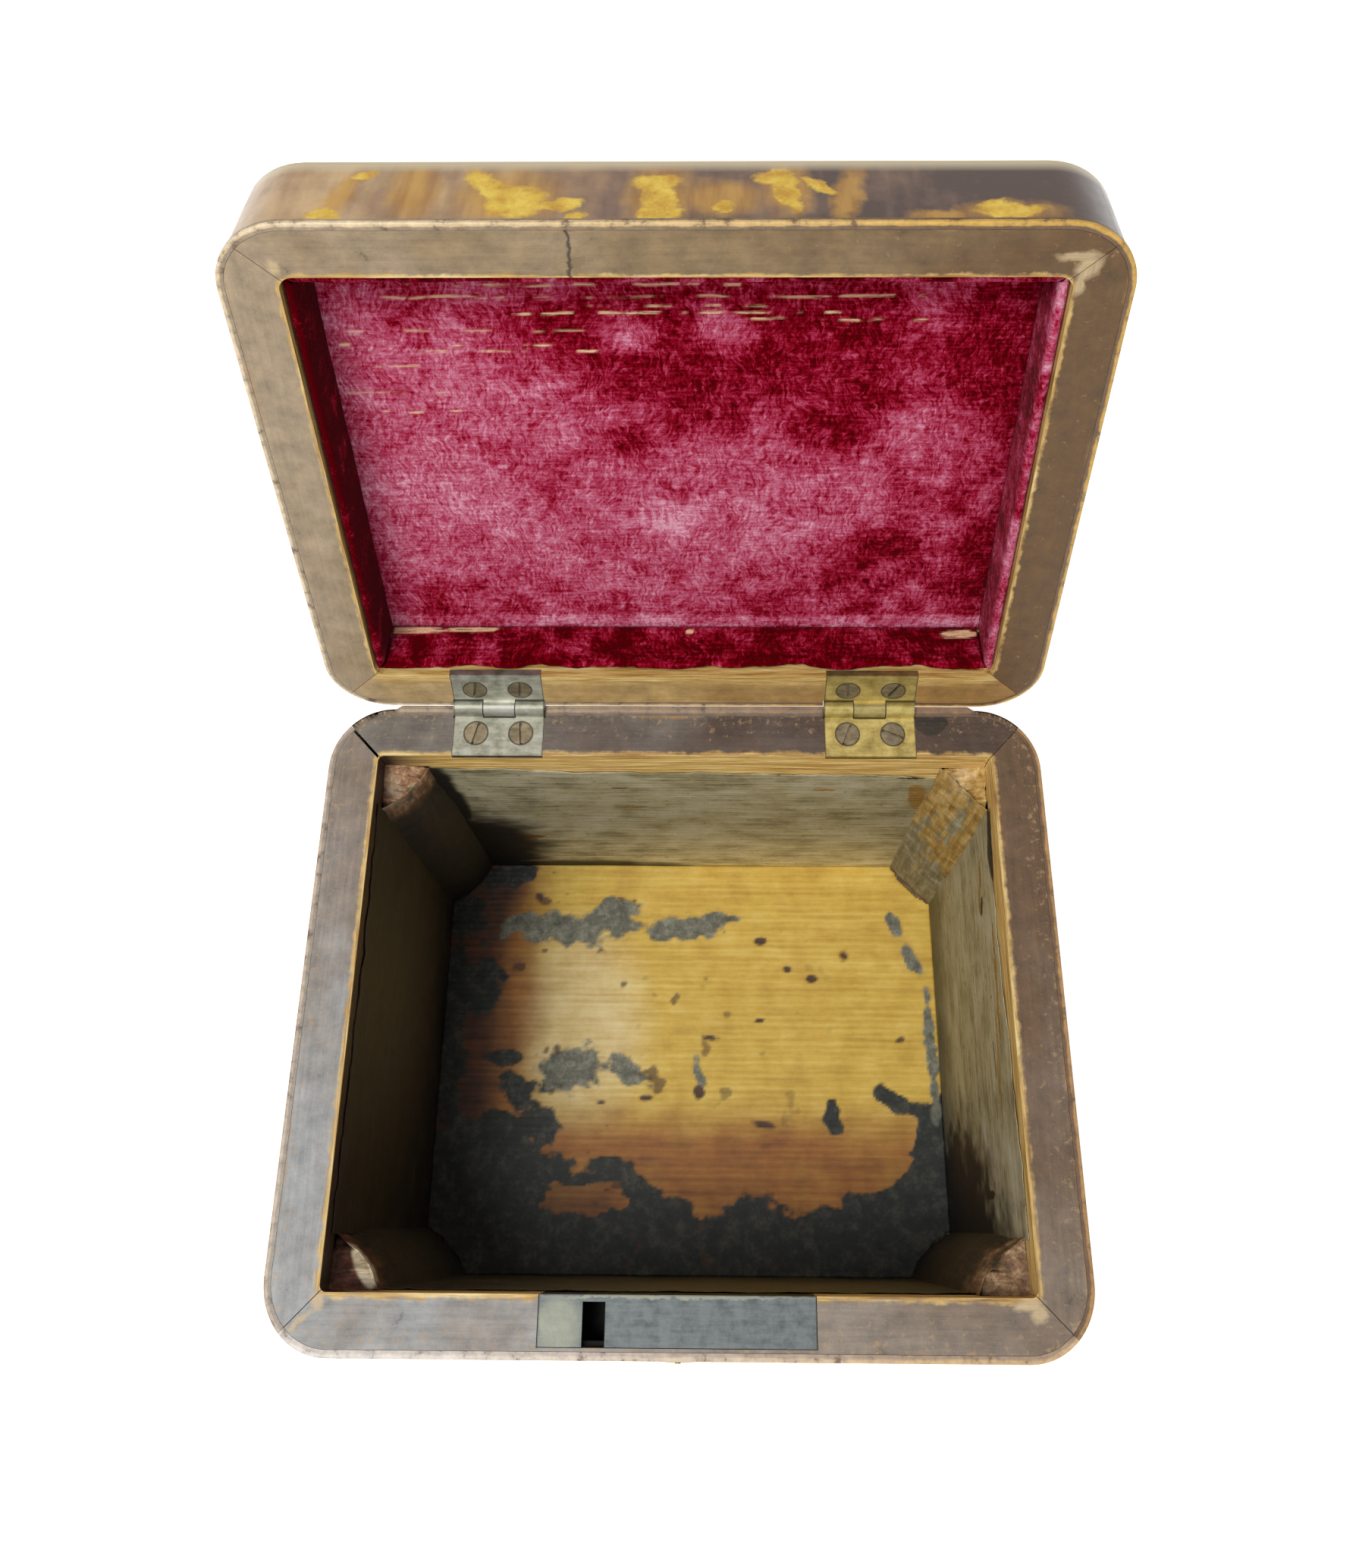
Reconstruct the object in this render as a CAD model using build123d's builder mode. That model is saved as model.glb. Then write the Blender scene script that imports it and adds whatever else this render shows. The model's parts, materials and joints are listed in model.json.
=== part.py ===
"""Tortoiseshell tea box, open: a veneered wooden box with a foil-lined inside, a sprung
box lock let into the front rim, and a velvet-lined lid on two brass butt hinges.

The origin is the centre of the underside. +X is to the right seen from the front, -Y is
the front and +Z is up. All sizes are millimetres. Lid pieces are drawn as on the closed
box, on planes that lid_plane() then turns about the hinge pins to the open position.
"""

from build123d import *
import math
import os

os.makedirs("parts", exist_ok=True)

# Box, over the shell
width = 120.0
depth = 96.0
base_height = 88.0
lid_height = 16.0
corner_radius = 10.0
parting_gap = 0.1
open_angle = 110.0

# Shell, wood and the glue and joints between them
shell = 0.8
wall = 8.0
bottom_thickness = 6.0
lid_board_thickness = 4.0
base_inner_radius = 1.0
lid_inner_radius = 2.0
glue_line = 0.05
mitre_gap = 0.12
cracked_mitre = 0.55
cracked_mitre_depth = 14.0
top_sheet_round = 0.35

# Pale edging strips round both rims
edging_height = 1.2
edging_proud = 0.3
edging_round = 0.3

# Inside of the base
corner_block_radius = 8.5
corner_block_drop = 5.0
foil = 0.4
foil_drop = 6.5
seat_gap = 0.05

# Velvet inside the lid
velvet_panel_thickness = 1.4
velvet_side_thickness = 1.6
velvet_side_drop = 0.5
velvet_gap = 0.1

# Butt hinges
hinge_length = 15.4
hinge_side_inset = 20.5
hinge_middle_knuckle = 5.4
hinge_overhang = 0.6
knuckle_radius = 1.7
knuckle_gap = 0.1
knuckle_notch_gap = 0.25
leaf_thickness = 1.15
leaf_fit = 0.05
hinge_pin_radius = 0.65
pin_running_gap = 0.06
pin_tight_gap = 0.02

# Countersunk slotted screws of the hinges
screw_spacing = 7.7
screw_head_radius = 2.05
screw_shank_radius = 0.95
screw_length = 8.0
screw_tip = 2.0
screw_slot_width = 0.45
screw_slot_depth = 0.5
screw_gap = 0.04
base_screw_turns = {"left": (75.0, 95.0), "right": (68.0, 160.0)}
lid_screw_turns = {"left": (80.0, 85.0), "right": (95.0, 60.0)}

# Box lock
lock_length = 40.0
lock_plate_height = 22.0
lock_sheet = 1.0
lock_rim_width = 6.6
lock_fit = 0.1
case_length = 31.0
case_height = 19.5
case_sheet = 0.7
staple_slot_centre = -12.0
staple_slot_width = 3.3
staple_slot_margin = 0.9
bolt_height = 4.5
bolt_length = 19.0
bolt_tongue_height = 2.6
bolt_tongue_length = 4.5
bolt_drop = 4.0
bolt_gap = 0.2
bolt_clear_of_slot = 0.5
talon_radius = 2.6
bolt_key_room = 4.0
ledge_thickness = 0.8
spring_thickness = 0.35
spring_width = 3.0
spring_half_span = 6.0
spring_centre = 2.0
key_drop = 12.5
key_post_radius = 0.8
key_post_short = 0.2
lock_pin_radius = 0.6
lock_pin_length = 5.0
lock_pin_inset = 2.2

# Keyhole and its oval plate
keyhole_radius = 1.5
keyhole_slot_width = 1.5
keyhole_slot_drop = 4.4
escutcheon_width = 11.0
escutcheon_height = 16.0
escutcheon_thickness = 0.8
escutcheon_round = 0.35
escutcheon_drop = 1.2
escutcheon_pin_radius = 0.45
escutcheon_pin_length = 1.2
escutcheon_pin_proud = 0.2
escutcheon_pin_inset = 1.5

# Worked out from the sizes above
hinge_y = depth / 2 + hinge_overhang
hinge_z = base_height + parting_gap / 2
lid_z = base_height + parting_gap
inner_width = width - 2 * wall
inner_depth = depth - 2 * wall
lid_walls_height = lid_height - shell - glue_line - lid_board_thickness
side_names = ("front", "back", "left", "right")
hinge_out = width / 2 - hinge_side_inset - hinge_length / 2
hinge_places = {"left": -hinge_out, "right": hinge_out}

# Lock, from the inside face of the front wall outwards
lock_back_y = -inner_depth / 2
lock_inner_y = lock_back_y - lock_sheet
lock_outer_y = lock_back_y - lock_rim_width
lock_bottom = base_height - lock_plate_height
lock_x = (-lock_length / 2, lock_length / 2)
lock_seat_x = (-lock_length / 2 - lock_fit, lock_length / 2 + lock_fit)
case_top = base_height - lock_sheet
case_bottom = case_top - case_height
case_inside_x = case_length / 2 - case_sheet
case_inside_y = lock_outer_y + case_sheet
key_z = base_height - key_drop
staple_x = (staple_slot_centre - staple_slot_width / 2, staple_slot_centre + staple_slot_width / 2)
bolt_top = base_height - bolt_drop
bolt_bottom = bolt_top - bolt_height
bolt_middle = (bolt_top + bolt_bottom) / 2
bolt_tip = staple_x[1] + bolt_clear_of_slot
bolt_y = (case_inside_y + bolt_gap, lock_inner_y - bolt_gap)
spring_top = case_top - case_sheet - glue_line


def keep(piece, label):
    """Names a finished piece and writes its file."""
    piece.part.label = label
    export_step(piece.part, f"parts/{label}.step")


def lid_plane(closed):
    """The plane of the open lid that lies on the given plane of the closed box."""
    pivot = Vector(0, hinge_y, hinge_z)
    return Plane(
        origin=pivot + (closed.origin - pivot).rotate(Axis.X, -open_angle),
        x_dir=closed.x_dir.rotate(Axis.X, -open_angle),
        z_dir=closed.z_dir.rotate(Axis.X, -open_angle),
    )


def as_closed(plane):
    """The base stays where it is drawn."""
    return plane


def grown(outline, amount):
    """A rounded outline (width, depth, corner radius), larger all round by an amount."""
    return (outline[0] + 2 * amount, outline[1] + 2 * amount, outline[2] + amount)


def mitred_side(plane, side, outer, inner, height, gap, edge_round=0.0):
    """One side of a rectangular ring with rounded corners, mitred to its neighbours.

    outer and inner are (width, depth, corner radius), gap is the opening left between two
    neighbouring sides along their mitre, and edge_round rounds both outside edges.
    """
    reach = inner[2]
    cut = gap / 2 * math.sqrt(2)
    outer_x, outer_y = outer[0] / 2, outer[1] / 2
    inner_x, inner_y = inner[0] / 2 - reach, inner[1] / 2 - reach
    wedges = {
        "front": [(cut - outer_x, -outer_y), (outer_x - cut, -outer_y),
                  (inner_x - cut, -inner_y), (cut - inner_x, -inner_y)],
        "back": [(cut - outer_x, outer_y), (outer_x - cut, outer_y),
                 (inner_x - cut, inner_y), (cut - inner_x, inner_y)],
        "left": [(-outer_x, cut - outer_y), (-outer_x, outer_y - cut),
                 (-inner_x, inner_y - cut), (-inner_x, cut - inner_y)],
        "right": [(outer_x, cut - outer_y), (outer_x, outer_y - cut),
                  (inner_x, inner_y - cut), (inner_x, cut - inner_y)],
    }
    with BuildPart() as piece:
        with BuildSketch(plane):
            RectangleRounded(*outer)
        extrude(amount=height)
        if edge_round:
            ends = piece.faces().sort_by(Axis(plane.origin, plane.z_dir))
            fillet(ends[0].edges() + ends[-1].edges(), edge_round)
        with BuildSketch(plane):
            RectangleRounded(*inner)
        extrude(amount=height, mode=Mode.SUBTRACT)
        with BuildSketch(plane):
            with BuildLine():
                Polyline(*wedges[side], close=True)
            make_face()
        extrude(amount=height, mode=Mode.INTERSECT)
    return piece.part


def rounded_board(plane, outline, thickness):
    """A flat board with the rounded outline of the box."""
    with BuildPart() as piece:
        with BuildSketch(plane):
            RectangleRounded(*outline)
        extrude(amount=thickness)
    return piece.part


def block(x_span, y_span, z_span, place):
    """A plain rectangular body between (low, high) limits on each axis of the closed box."""
    middle = ((x_span[0] + x_span[1]) / 2, (y_span[0] + y_span[1]) / 2, z_span[0])
    with BuildPart() as body:
        with BuildSketch(place(Plane(middle))):
            Rectangle(x_span[1] - x_span[0], y_span[1] - y_span[0])
        extrude(amount=z_span[1] - z_span[0])
    return body.part


def round_bar(plane, radius, length):
    """A plain round body along the normal of its plane."""
    with BuildPart() as bar:
        with BuildSketch(plane):
            Circle(radius)
        extrude(amount=length)
    return bar.part


def front_plane(x, y, z):
    """A plane that faces the front, with its own Y axis upwards."""
    return Plane(origin=(x, y, z), x_dir=(1, 0, 0), z_dir=(0, -1, 0))


def pin_line_plane(x):
    """A plane square to the hinge pins, with its origin on their line."""
    return Plane(origin=(x, hinge_y, hinge_z), x_dir=(0, 1, 0), z_dir=(1, 0, 0))


def knuckle_notch(x, place):
    """The groove at the back edge that clears the barrel of one hinge."""
    half = hinge_length / 2 + knuckle_notch_gap
    return round_bar(place(pin_line_plane(x - half)), knuckle_radius + knuckle_notch_gap, 2 * half)


def leaf_span(x, into_base):
    """The limits of one hinge leaf on the closed box, let into the base or into the lid."""
    x_span = (x - hinge_length / 2, x + hinge_length / 2)
    y_span = (inner_depth / 2, hinge_y)
    if into_base:
        return x_span, y_span, (base_height - leaf_thickness, base_height)
    return x_span, y_span, (lid_z, lid_z + leaf_thickness)


def leaf_seat(x, into_base, place):
    """The seat of one hinge leaf in the rim, open at the inside and at the back."""
    x_span, y_span, z_span = leaf_span(x, into_base)
    return block((x_span[0] - leaf_fit, x_span[1] + leaf_fit), y_span, z_span, place)


def screw_planes(x, into_base, place):
    """The planes of the two screw heads of one leaf, facing out of the rim."""
    y = depth / 2 - wall / 2
    height, normal = (base_height, (0, 0, 1)) if into_base else (lid_z, (0, 0, -1))
    return [
        place(Plane(origin=(x + step, y, height), x_dir=(1, 0, 0), z_dir=normal))
        for step in (-screw_spacing / 2, screw_spacing / 2)
    ]


def spun(plane, turn):
    """The plane, turned about its own normal by an angle in degrees."""
    normal = Axis((0, 0, 0), plane.z_dir)
    return Plane(origin=plane.origin, x_dir=plane.x_dir.rotate(normal, turn), z_dir=plane.z_dir)


def screw_bore(plane):
    """The hole of one hinge screw, going into the rim that its plane faces out of."""
    length = screw_length + screw_gap
    return round_bar(plane.offset(-length), screw_shank_radius + screw_gap, length)


def hinged_wall(wall_part, into_base, place):
    """A back wall with the seats, notches and screw holes of both hinges cut into it."""
    with BuildPart() as hinged:
        add(wall_part)
        for hinge_x in hinge_places.values():
            add(leaf_seat(hinge_x, into_base, place), mode=Mode.SUBTRACT)
            add(knuckle_notch(hinge_x, place), mode=Mode.SUBTRACT)
            for screw_plane in screw_planes(hinge_x, into_base, place):
                add(screw_bore(screw_plane), mode=Mode.SUBTRACT)
    return hinged


def notched(strip, place):
    """A back sheet or strip with room for both hinge barrels."""
    with BuildPart() as cut:
        add(strip)
        for hinge_x in hinge_places.values():
            add(knuckle_notch(hinge_x, place), mode=Mode.SUBTRACT)
    return cut


def keyhole(y, length):
    """A keyhole's cutting body, from the given depth outwards."""
    with BuildPart() as tool:
        with BuildSketch(front_plane(0, y, key_z)):
            Circle(keyhole_radius)
            with Locations((0, -keyhole_slot_drop / 2)):
                Rectangle(keyhole_slot_width, keyhole_slot_drop)
        extrude(amount=length)
    return tool.part


# Rounded outlines as (width, depth, corner radius)
outline = (width, depth, corner_radius)
wood_face = grown(outline, -shell)
wood = grown(wood_face, -glue_line)
edging_outline = grown(outline, edging_proud)
base_inside = (inner_width, inner_depth, base_inner_radius)
lid_inside = (inner_width, inner_depth, lid_inner_radius)
velvet_outline = grown(lid_inside, -velvet_gap)

# Pins of the lock, midway between its case and the ends of its plate, and of the keyhole plate
lock_pin_x = (lock_length + case_length) / 4
lock_pin_planes = [
    front_plane(x, lock_back_y, z)
    for x in (-lock_pin_x, lock_pin_x)
    for z in (lock_bottom + lock_pin_inset, base_height - 2 * lock_pin_inset)
]
escutcheon_pin_z = escutcheon_height / 2 - escutcheon_pin_inset
escutcheon_pin_planes = [
    front_plane(0, -depth / 2, key_z - escutcheon_drop + rise)
    for rise in (-escutcheon_pin_z, escutcheon_pin_z)
]


# Bottom board and the mitred wooden walls of the base

with BuildPart() as bottom_board:
    add(rounded_board(Plane.XY, wood, bottom_thickness))
keep(bottom_board, "bottom_board")

base_walls = {
    side: mitred_side(Plane.XY.offset(bottom_thickness), side, wood, base_inside,
                      base_height - bottom_thickness, mitre_gap)
    for side in side_names
}

with BuildPart() as base_wall_right:
    add(base_walls["right"])
keep(base_wall_right, "base_wall_right")

with BuildPart() as base_wall_left:
    add(base_walls["left"])
    # The rear left mitre has sprung open at the rim
    with BuildSketch(Plane.XY.offset(base_height)):
        with BuildLine():
            Polyline(
                (-width / 2, depth / 2),
                (-inner_width / 2, inner_depth / 2),
                (-inner_width / 2, inner_depth / 2 - cracked_mitre),
                (-width / 2, depth / 2 - cracked_mitre),
                close=True,
            )
        make_face()
    extrude(amount=-cracked_mitre_depth, mode=Mode.SUBTRACT)
keep(base_wall_left, "base_wall_left")

base_wall_back = hinged_wall(base_walls["back"], True, as_closed)
keep(base_wall_back, "base_wall_back")

with BuildPart() as base_wall_front:
    add(base_walls["front"])
    # Seats of the lock's inner plate and rim plate, and the mortise of its case
    add(block(lock_seat_x, (lock_inner_y, lock_back_y), (lock_bottom - lock_fit, base_height), as_closed),
        mode=Mode.SUBTRACT)
    add(block(lock_seat_x, (lock_outer_y - lock_fit, lock_inner_y), (case_top, base_height), as_closed),
        mode=Mode.SUBTRACT)
    add(block((-case_length / 2 - lock_fit, case_length / 2 + lock_fit),
              (lock_outer_y - lock_fit, lock_inner_y), (case_bottom - lock_fit, case_top), as_closed),
        mode=Mode.SUBTRACT)
    for pin_plane in lock_pin_planes:
        add(round_bar(pin_plane, lock_pin_radius + screw_gap, lock_pin_length + screw_gap),
            mode=Mode.SUBTRACT)
    for pin_plane in escutcheon_pin_planes:
        add(round_bar(pin_plane.offset(-escutcheon_pin_length), escutcheon_pin_radius + screw_gap,
                      escutcheon_pin_length), mode=Mode.SUBTRACT)
    add(keyhole(lock_inner_y, wall), mode=Mode.SUBTRACT)
keep(base_wall_front, "base_wall_front")

# Quarter-round glue blocks in the four inside corners

for front_or_rear, y_sign in (("front", -1), ("rear", 1)):
    for left_or_right, x_sign in (("left", -1), ("right", 1)):
        with BuildPart() as corner_block:
            with BuildSketch(Plane.XY.offset(bottom_thickness)):
                RectangleRounded(*grown(base_inside, -seat_gap))
                with Locations((x_sign * inner_width / 2, y_sign * inner_depth / 2)):
                    Circle(corner_block_radius, mode=Mode.INTERSECT)
            extrude(amount=base_height - bottom_thickness - corner_block_drop)
        keep(corner_block, f"corner_block_{front_or_rear}_{left_or_right}")

# Foil lining: one sheet on each wall between the corner blocks, and one on the floor

with BuildPart() as foil_floor:
    with BuildSketch(Plane.XY.offset(bottom_thickness)):
        RectangleRounded(*grown(base_inside, -seat_gap))
        with GridLocations(inner_width, inner_depth, 2, 2):
            Circle(corner_block_radius + seat_gap, mode=Mode.SUBTRACT)
    extrude(amount=foil)
keep(foil_floor, "foil_floor")

foil_x = inner_width / 2 - corner_block_radius - seat_gap
foil_y = inner_depth / 2 - corner_block_radius - seat_gap
foil_z_span = (bottom_thickness + foil, base_height - foil_drop)
foil_spans = {
    "front": ((-foil_x, foil_x), (-inner_depth / 2, foil - inner_depth / 2)),
    "back": ((-foil_x, foil_x), (inner_depth / 2 - foil, inner_depth / 2)),
    "left": ((-inner_width / 2, foil - inner_width / 2), (-foil_y, foil_y)),
    "right": ((inner_width / 2 - foil, inner_width / 2), (-foil_y, foil_y)),
}
for side in side_names:
    with BuildPart() as foil_sheet:
        add(block(*foil_spans[side], foil_z_span, as_closed))
    keep(foil_sheet, f"foil_{side}")

# Tortoiseshell sheets on the base, and the pale strips that edge its rim

base_sheets = {
    side: mitred_side(Plane.XY, side, outline, wood_face, base_height - edging_height - glue_line, seat_gap)
    for side in side_names
}
base_strips = {
    side: mitred_side(Plane.XY.offset(base_height - edging_height), side, edging_outline, wood_face,
                      edging_height, seat_gap, edging_round)
    for side in side_names
}

for side in ("left", "right"):
    with BuildPart() as base_shell:
        add(base_sheets[side])
    keep(base_shell, f"base_shell_{side}")

with BuildPart() as base_shell_front:
    add(base_sheets["front"])
    add(keyhole(lock_outer_y, wall), mode=Mode.SUBTRACT)
    for pin_plane in escutcheon_pin_planes:
        add(round_bar(pin_plane.offset(-escutcheon_pin_length), escutcheon_pin_radius + screw_gap,
                      escutcheon_pin_length), mode=Mode.SUBTRACT)
keep(base_shell_front, "base_shell_front")

base_shell_back = notched(base_sheets["back"], as_closed)
keep(base_shell_back, "base_shell_back")

for side in ("front", "left", "right"):
    with BuildPart() as base_edging:
        add(base_strips[side])
    keep(base_edging, f"base_edging_{side}")

base_edging_back = notched(base_strips["back"], as_closed)
keep(base_edging_back, "base_edging_back")

# Oval brass keyhole plate and its two pins

with BuildPart() as keyhole_escutcheon:
    with BuildSketch(front_plane(0, -depth / 2, key_z - escutcheon_drop)):
        Ellipse(escutcheon_width / 2, escutcheon_height / 2)
    extrude(amount=escutcheon_thickness)
    fillet(keyhole_escutcheon.faces().sort_by(Axis.Y)[0].edges(), escutcheon_round)
    add(keyhole(-depth / 2, escutcheon_thickness), mode=Mode.SUBTRACT)
    for pin_plane in escutcheon_pin_planes:
        add(round_bar(pin_plane, escutcheon_pin_radius + screw_gap, escutcheon_thickness),
            mode=Mode.SUBTRACT)
keep(keyhole_escutcheon, "keyhole_escutcheon")

with BuildPart() as escutcheon_pins:
    for pin_plane in escutcheon_pin_planes:
        add(round_bar(pin_plane.offset(-escutcheon_pin_length), escutcheon_pin_radius,
                      escutcheon_pin_length + escutcheon_thickness + escutcheon_pin_proud))
keep(escutcheon_pins, "escutcheon_pins")

# Box lock: an angled plate, a case behind it, and the bolt, spring and key post inside

with BuildPart() as lock_plate:
    add(block(lock_x, (lock_inner_y, lock_back_y), (lock_bottom, base_height), as_closed))
    add(block(lock_x, (lock_outer_y, lock_inner_y), (case_top, base_height), as_closed))
    add(block(staple_x, (lock_outer_y - lock_fit, lock_back_y - staple_slot_margin),
              (case_top, base_height), as_closed), mode=Mode.SUBTRACT)
    for pin_plane in lock_pin_planes:
        add(round_bar(pin_plane, lock_pin_radius + pin_tight_gap, lock_sheet), mode=Mode.SUBTRACT)
keep(lock_plate, "lock_plate")

with BuildPart() as lock_pins:
    for pin_plane in lock_pin_planes:
        add(round_bar(pin_plane, lock_pin_radius, lock_pin_length))
keep(lock_pins, "lock_pins")

with BuildPart() as lock_case:
    add(block((-case_length / 2, case_length / 2), (lock_outer_y, lock_inner_y),
              (case_bottom, case_top), as_closed))
    add(block((-case_inside_x, case_inside_x), (case_inside_y, lock_inner_y),
              (case_bottom + case_sheet, case_top - case_sheet), as_closed), mode=Mode.SUBTRACT)
    for ledge_x in ((-case_inside_x, -bolt_key_room), (bolt_key_room, case_inside_x)):
        add(block(ledge_x, (case_inside_y, lock_inner_y),
                  (bolt_bottom - bolt_gap - ledge_thickness, bolt_bottom - bolt_gap), as_closed))
    add(block(staple_x, (lock_outer_y, lock_inner_y), (case_top - case_sheet, case_top), as_closed),
        mode=Mode.SUBTRACT)
    add(keyhole(case_inside_y, case_sheet), mode=Mode.SUBTRACT)
keep(lock_case, "lock_case")

with BuildPart() as lock_bolt:
    add(block((bolt_tip + bolt_tongue_length, bolt_tip + bolt_length), bolt_y,
              (bolt_bottom, bolt_top), as_closed))
    add(block((bolt_tip, bolt_tip + bolt_tongue_length), bolt_y,
              (bolt_middle - bolt_tongue_height / 2, bolt_middle + bolt_tongue_height / 2), as_closed))
    # The talon, where the bit of the key pushes
    add(round_bar(front_plane(0, bolt_y[1], bolt_bottom), talon_radius, bolt_y[1] - bolt_y[0]),
        mode=Mode.SUBTRACT)
keep(lock_bolt, "lock_bolt")

with BuildPart() as lock_spring:
    with BuildSketch(front_plane(spring_centre, (bolt_y[0] + bolt_y[1] + spring_width) / 2, 0)):
        with BuildLine():
            low = ThreePointArc((-spring_half_span, spring_top - spring_thickness),
                                (0, bolt_top + bolt_gap / 2),
                                (spring_half_span, spring_top - spring_thickness))
            high = ThreePointArc((-spring_half_span, spring_top),
                                 (0, bolt_top + bolt_gap / 2 + spring_thickness),
                                 (spring_half_span, spring_top))
            Line(low @ 0, high @ 0)
            Line(low @ 1, high @ 1)
        make_face()
    extrude(amount=spring_width)
keep(lock_spring, "lock_spring")

with BuildPart() as key_post:
    add(round_bar(front_plane(0, lock_inner_y, key_z), key_post_radius,
                  lock_rim_width - lock_sheet - key_post_short))
keep(key_post, "key_post")

# Lid, drawn closed and turned open: wood, shell and edging

lid_walls = {
    side: mitred_side(lid_plane(Plane.XY.offset(lid_z)), side, wood, lid_inside, lid_walls_height, mitre_gap)
    for side in side_names
}
lid_sheets = {
    side: mitred_side(lid_plane(Plane.XY.offset(lid_z + edging_height + glue_line)), side, outline, wood_face,
                      lid_height - shell - edging_height - 2 * glue_line, seat_gap)
    for side in side_names
}
lid_strips = {
    side: mitred_side(lid_plane(Plane.XY.offset(lid_z)), side, edging_outline, wood_face,
                      edging_height, seat_gap, edging_round)
    for side in side_names
}

for side in ("front", "left", "right"):
    with BuildPart() as lid_wall:
        add(lid_walls[side])
    keep(lid_wall, f"lid_wall_{side}")
    with BuildPart() as lid_shell:
        add(lid_sheets[side])
    keep(lid_shell, f"lid_shell_{side}")
    with BuildPart() as lid_edging:
        add(lid_strips[side])
    keep(lid_edging, f"lid_edging_{side}")

lid_wall_back = hinged_wall(lid_walls["back"], False, lid_plane)
keep(lid_wall_back, "lid_wall_back")
lid_shell_back = notched(lid_sheets["back"], lid_plane)
keep(lid_shell_back, "lid_shell_back")
lid_edging_back = notched(lid_strips["back"], lid_plane)
keep(lid_edging_back, "lid_edging_back")

with BuildPart() as lid_board:
    add(rounded_board(lid_plane(Plane.XY.offset(lid_z + lid_walls_height)), wood, lid_board_thickness))
keep(lid_board, "lid_board")

top_plane = lid_plane(Plane.XY.offset(lid_z + lid_height - shell))
with BuildPart() as lid_shell_top:
    add(rounded_board(top_plane, outline, shell))
    fillet(lid_shell_top.faces().sort_by(Axis(top_plane.origin, top_plane.z_dir))[-1].edges(),
           top_sheet_round)
keep(lid_shell_top, "lid_shell_top")

# Velvet inside the lid: a covered panel against the board, and four covered strips

panel_z = lid_z + lid_walls_height - velvet_gap - velvet_panel_thickness
with BuildPart() as velvet_panel:
    add(rounded_board(lid_plane(Plane.XY.offset(panel_z)), velvet_outline, velvet_panel_thickness))
keep(velvet_panel, "velvet_panel")

for side in side_names:
    with BuildPart() as velvet_strip:
        add(mitred_side(lid_plane(Plane.XY.offset(lid_z + velvet_side_drop)), side, velvet_outline,
                        grown(velvet_outline, -velvet_side_thickness),
                        panel_z - velvet_gap - lid_z - velvet_side_drop, velvet_gap))
    keep(velvet_strip, f"velvet_{side}")

# Butt hinges: three knuckles on one pin, the middle one on the lid's leaf


def hinge_leaf(x, into_base, place, own, other, bore_gap):
    """One leaf with its knuckles; own and other are lists of knuckle limits along the pin."""
    with BuildPart() as leaf:
        add(block(*leaf_span(x, into_base), place))
        for start, end in own:
            add(round_bar(place(pin_line_plane(x + start)), knuckle_radius, end - start))
        for start, end in other:
            add(round_bar(place(pin_line_plane(x + start - knuckle_gap)), knuckle_radius + knuckle_gap,
                          end - start + 2 * knuckle_gap), mode=Mode.SUBTRACT)
        add(round_bar(place(pin_line_plane(x - hinge_length / 2)), hinge_pin_radius + bore_gap,
                      hinge_length), mode=Mode.SUBTRACT)
        with Locations(*screw_planes(x, into_base, place)):
            CounterSinkHole(screw_shank_radius + screw_gap, screw_head_radius + screw_gap,
                            depth=leaf_thickness, counter_sink_angle=90)
    return leaf


def slotted_screw():
    """One countersunk wood screw, head upwards and flush with the origin, point downwards."""
    cone = screw_head_radius - screw_shank_radius
    with BuildPart() as screw:
        with BuildSketch(Plane.XZ):
            with BuildLine():
                Polyline(
                    (0, 0),
                    (screw_head_radius, 0),
                    (screw_shank_radius, -cone),
                    (screw_shank_radius, screw_tip - screw_length),
                    (0, -screw_length),
                    close=True,
                )
            make_face()
        revolve(axis=Axis.Z)
        add(block((-screw_head_radius, screw_head_radius), (-screw_slot_width / 2, screw_slot_width / 2),
                  (-screw_slot_depth, 0), as_closed), mode=Mode.SUBTRACT)
    return screw.part


def hinge_screws(x, into_base, place, turns):
    """The two screws of one leaf, each slot left at its own turn."""
    with BuildPart() as screws:
        for screw_plane, turn in zip(screw_planes(x, into_base, place), turns):
            with Locations(spun(screw_plane, turn)):
                add(slotted_screw())
    return screws


half_hinge = hinge_length / 2
half_middle = hinge_middle_knuckle / 2
middle_knuckle = [(-half_middle, half_middle)]
end_knuckles = [(-half_hinge, -half_middle - knuckle_gap), (half_middle + knuckle_gap, half_hinge)]

for side, hinge_x in hinge_places.items():
    base_leaf = hinge_leaf(hinge_x, True, as_closed, end_knuckles, middle_knuckle, pin_tight_gap)
    keep(base_leaf, f"hinge_base_leaf_{side}")

    lid_leaf = hinge_leaf(hinge_x, False, lid_plane, middle_knuckle, end_knuckles, pin_running_gap)
    keep(lid_leaf, f"hinge_lid_leaf_{side}")

    with BuildPart() as hinge_pin:
        add(round_bar(pin_line_plane(hinge_x - half_hinge), hinge_pin_radius, hinge_length))
    keep(hinge_pin, f"hinge_pin_{side}")

    base_screws = hinge_screws(hinge_x, True, as_closed, base_screw_turns[side])
    keep(base_screws, f"hinge_base_screws_{side}")

    lid_screws = hinge_screws(hinge_x, False, lid_plane, lid_screw_turns[side])
    keep(lid_screws, f"hinge_lid_screws_{side}")
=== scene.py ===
"""A tortoiseshell box of the tea-caddy kind, standing open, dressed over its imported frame.

Lengths are in metres. A place is given on the closed box: x to the right, y to the back, z up from the
underside. The lid's own pieces are worked out closed, and then opened by LidFold.
"""

import json
import logging
import math
from collections.abc import Iterable
from dataclasses import dataclass, replace
from enum import Enum

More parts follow.
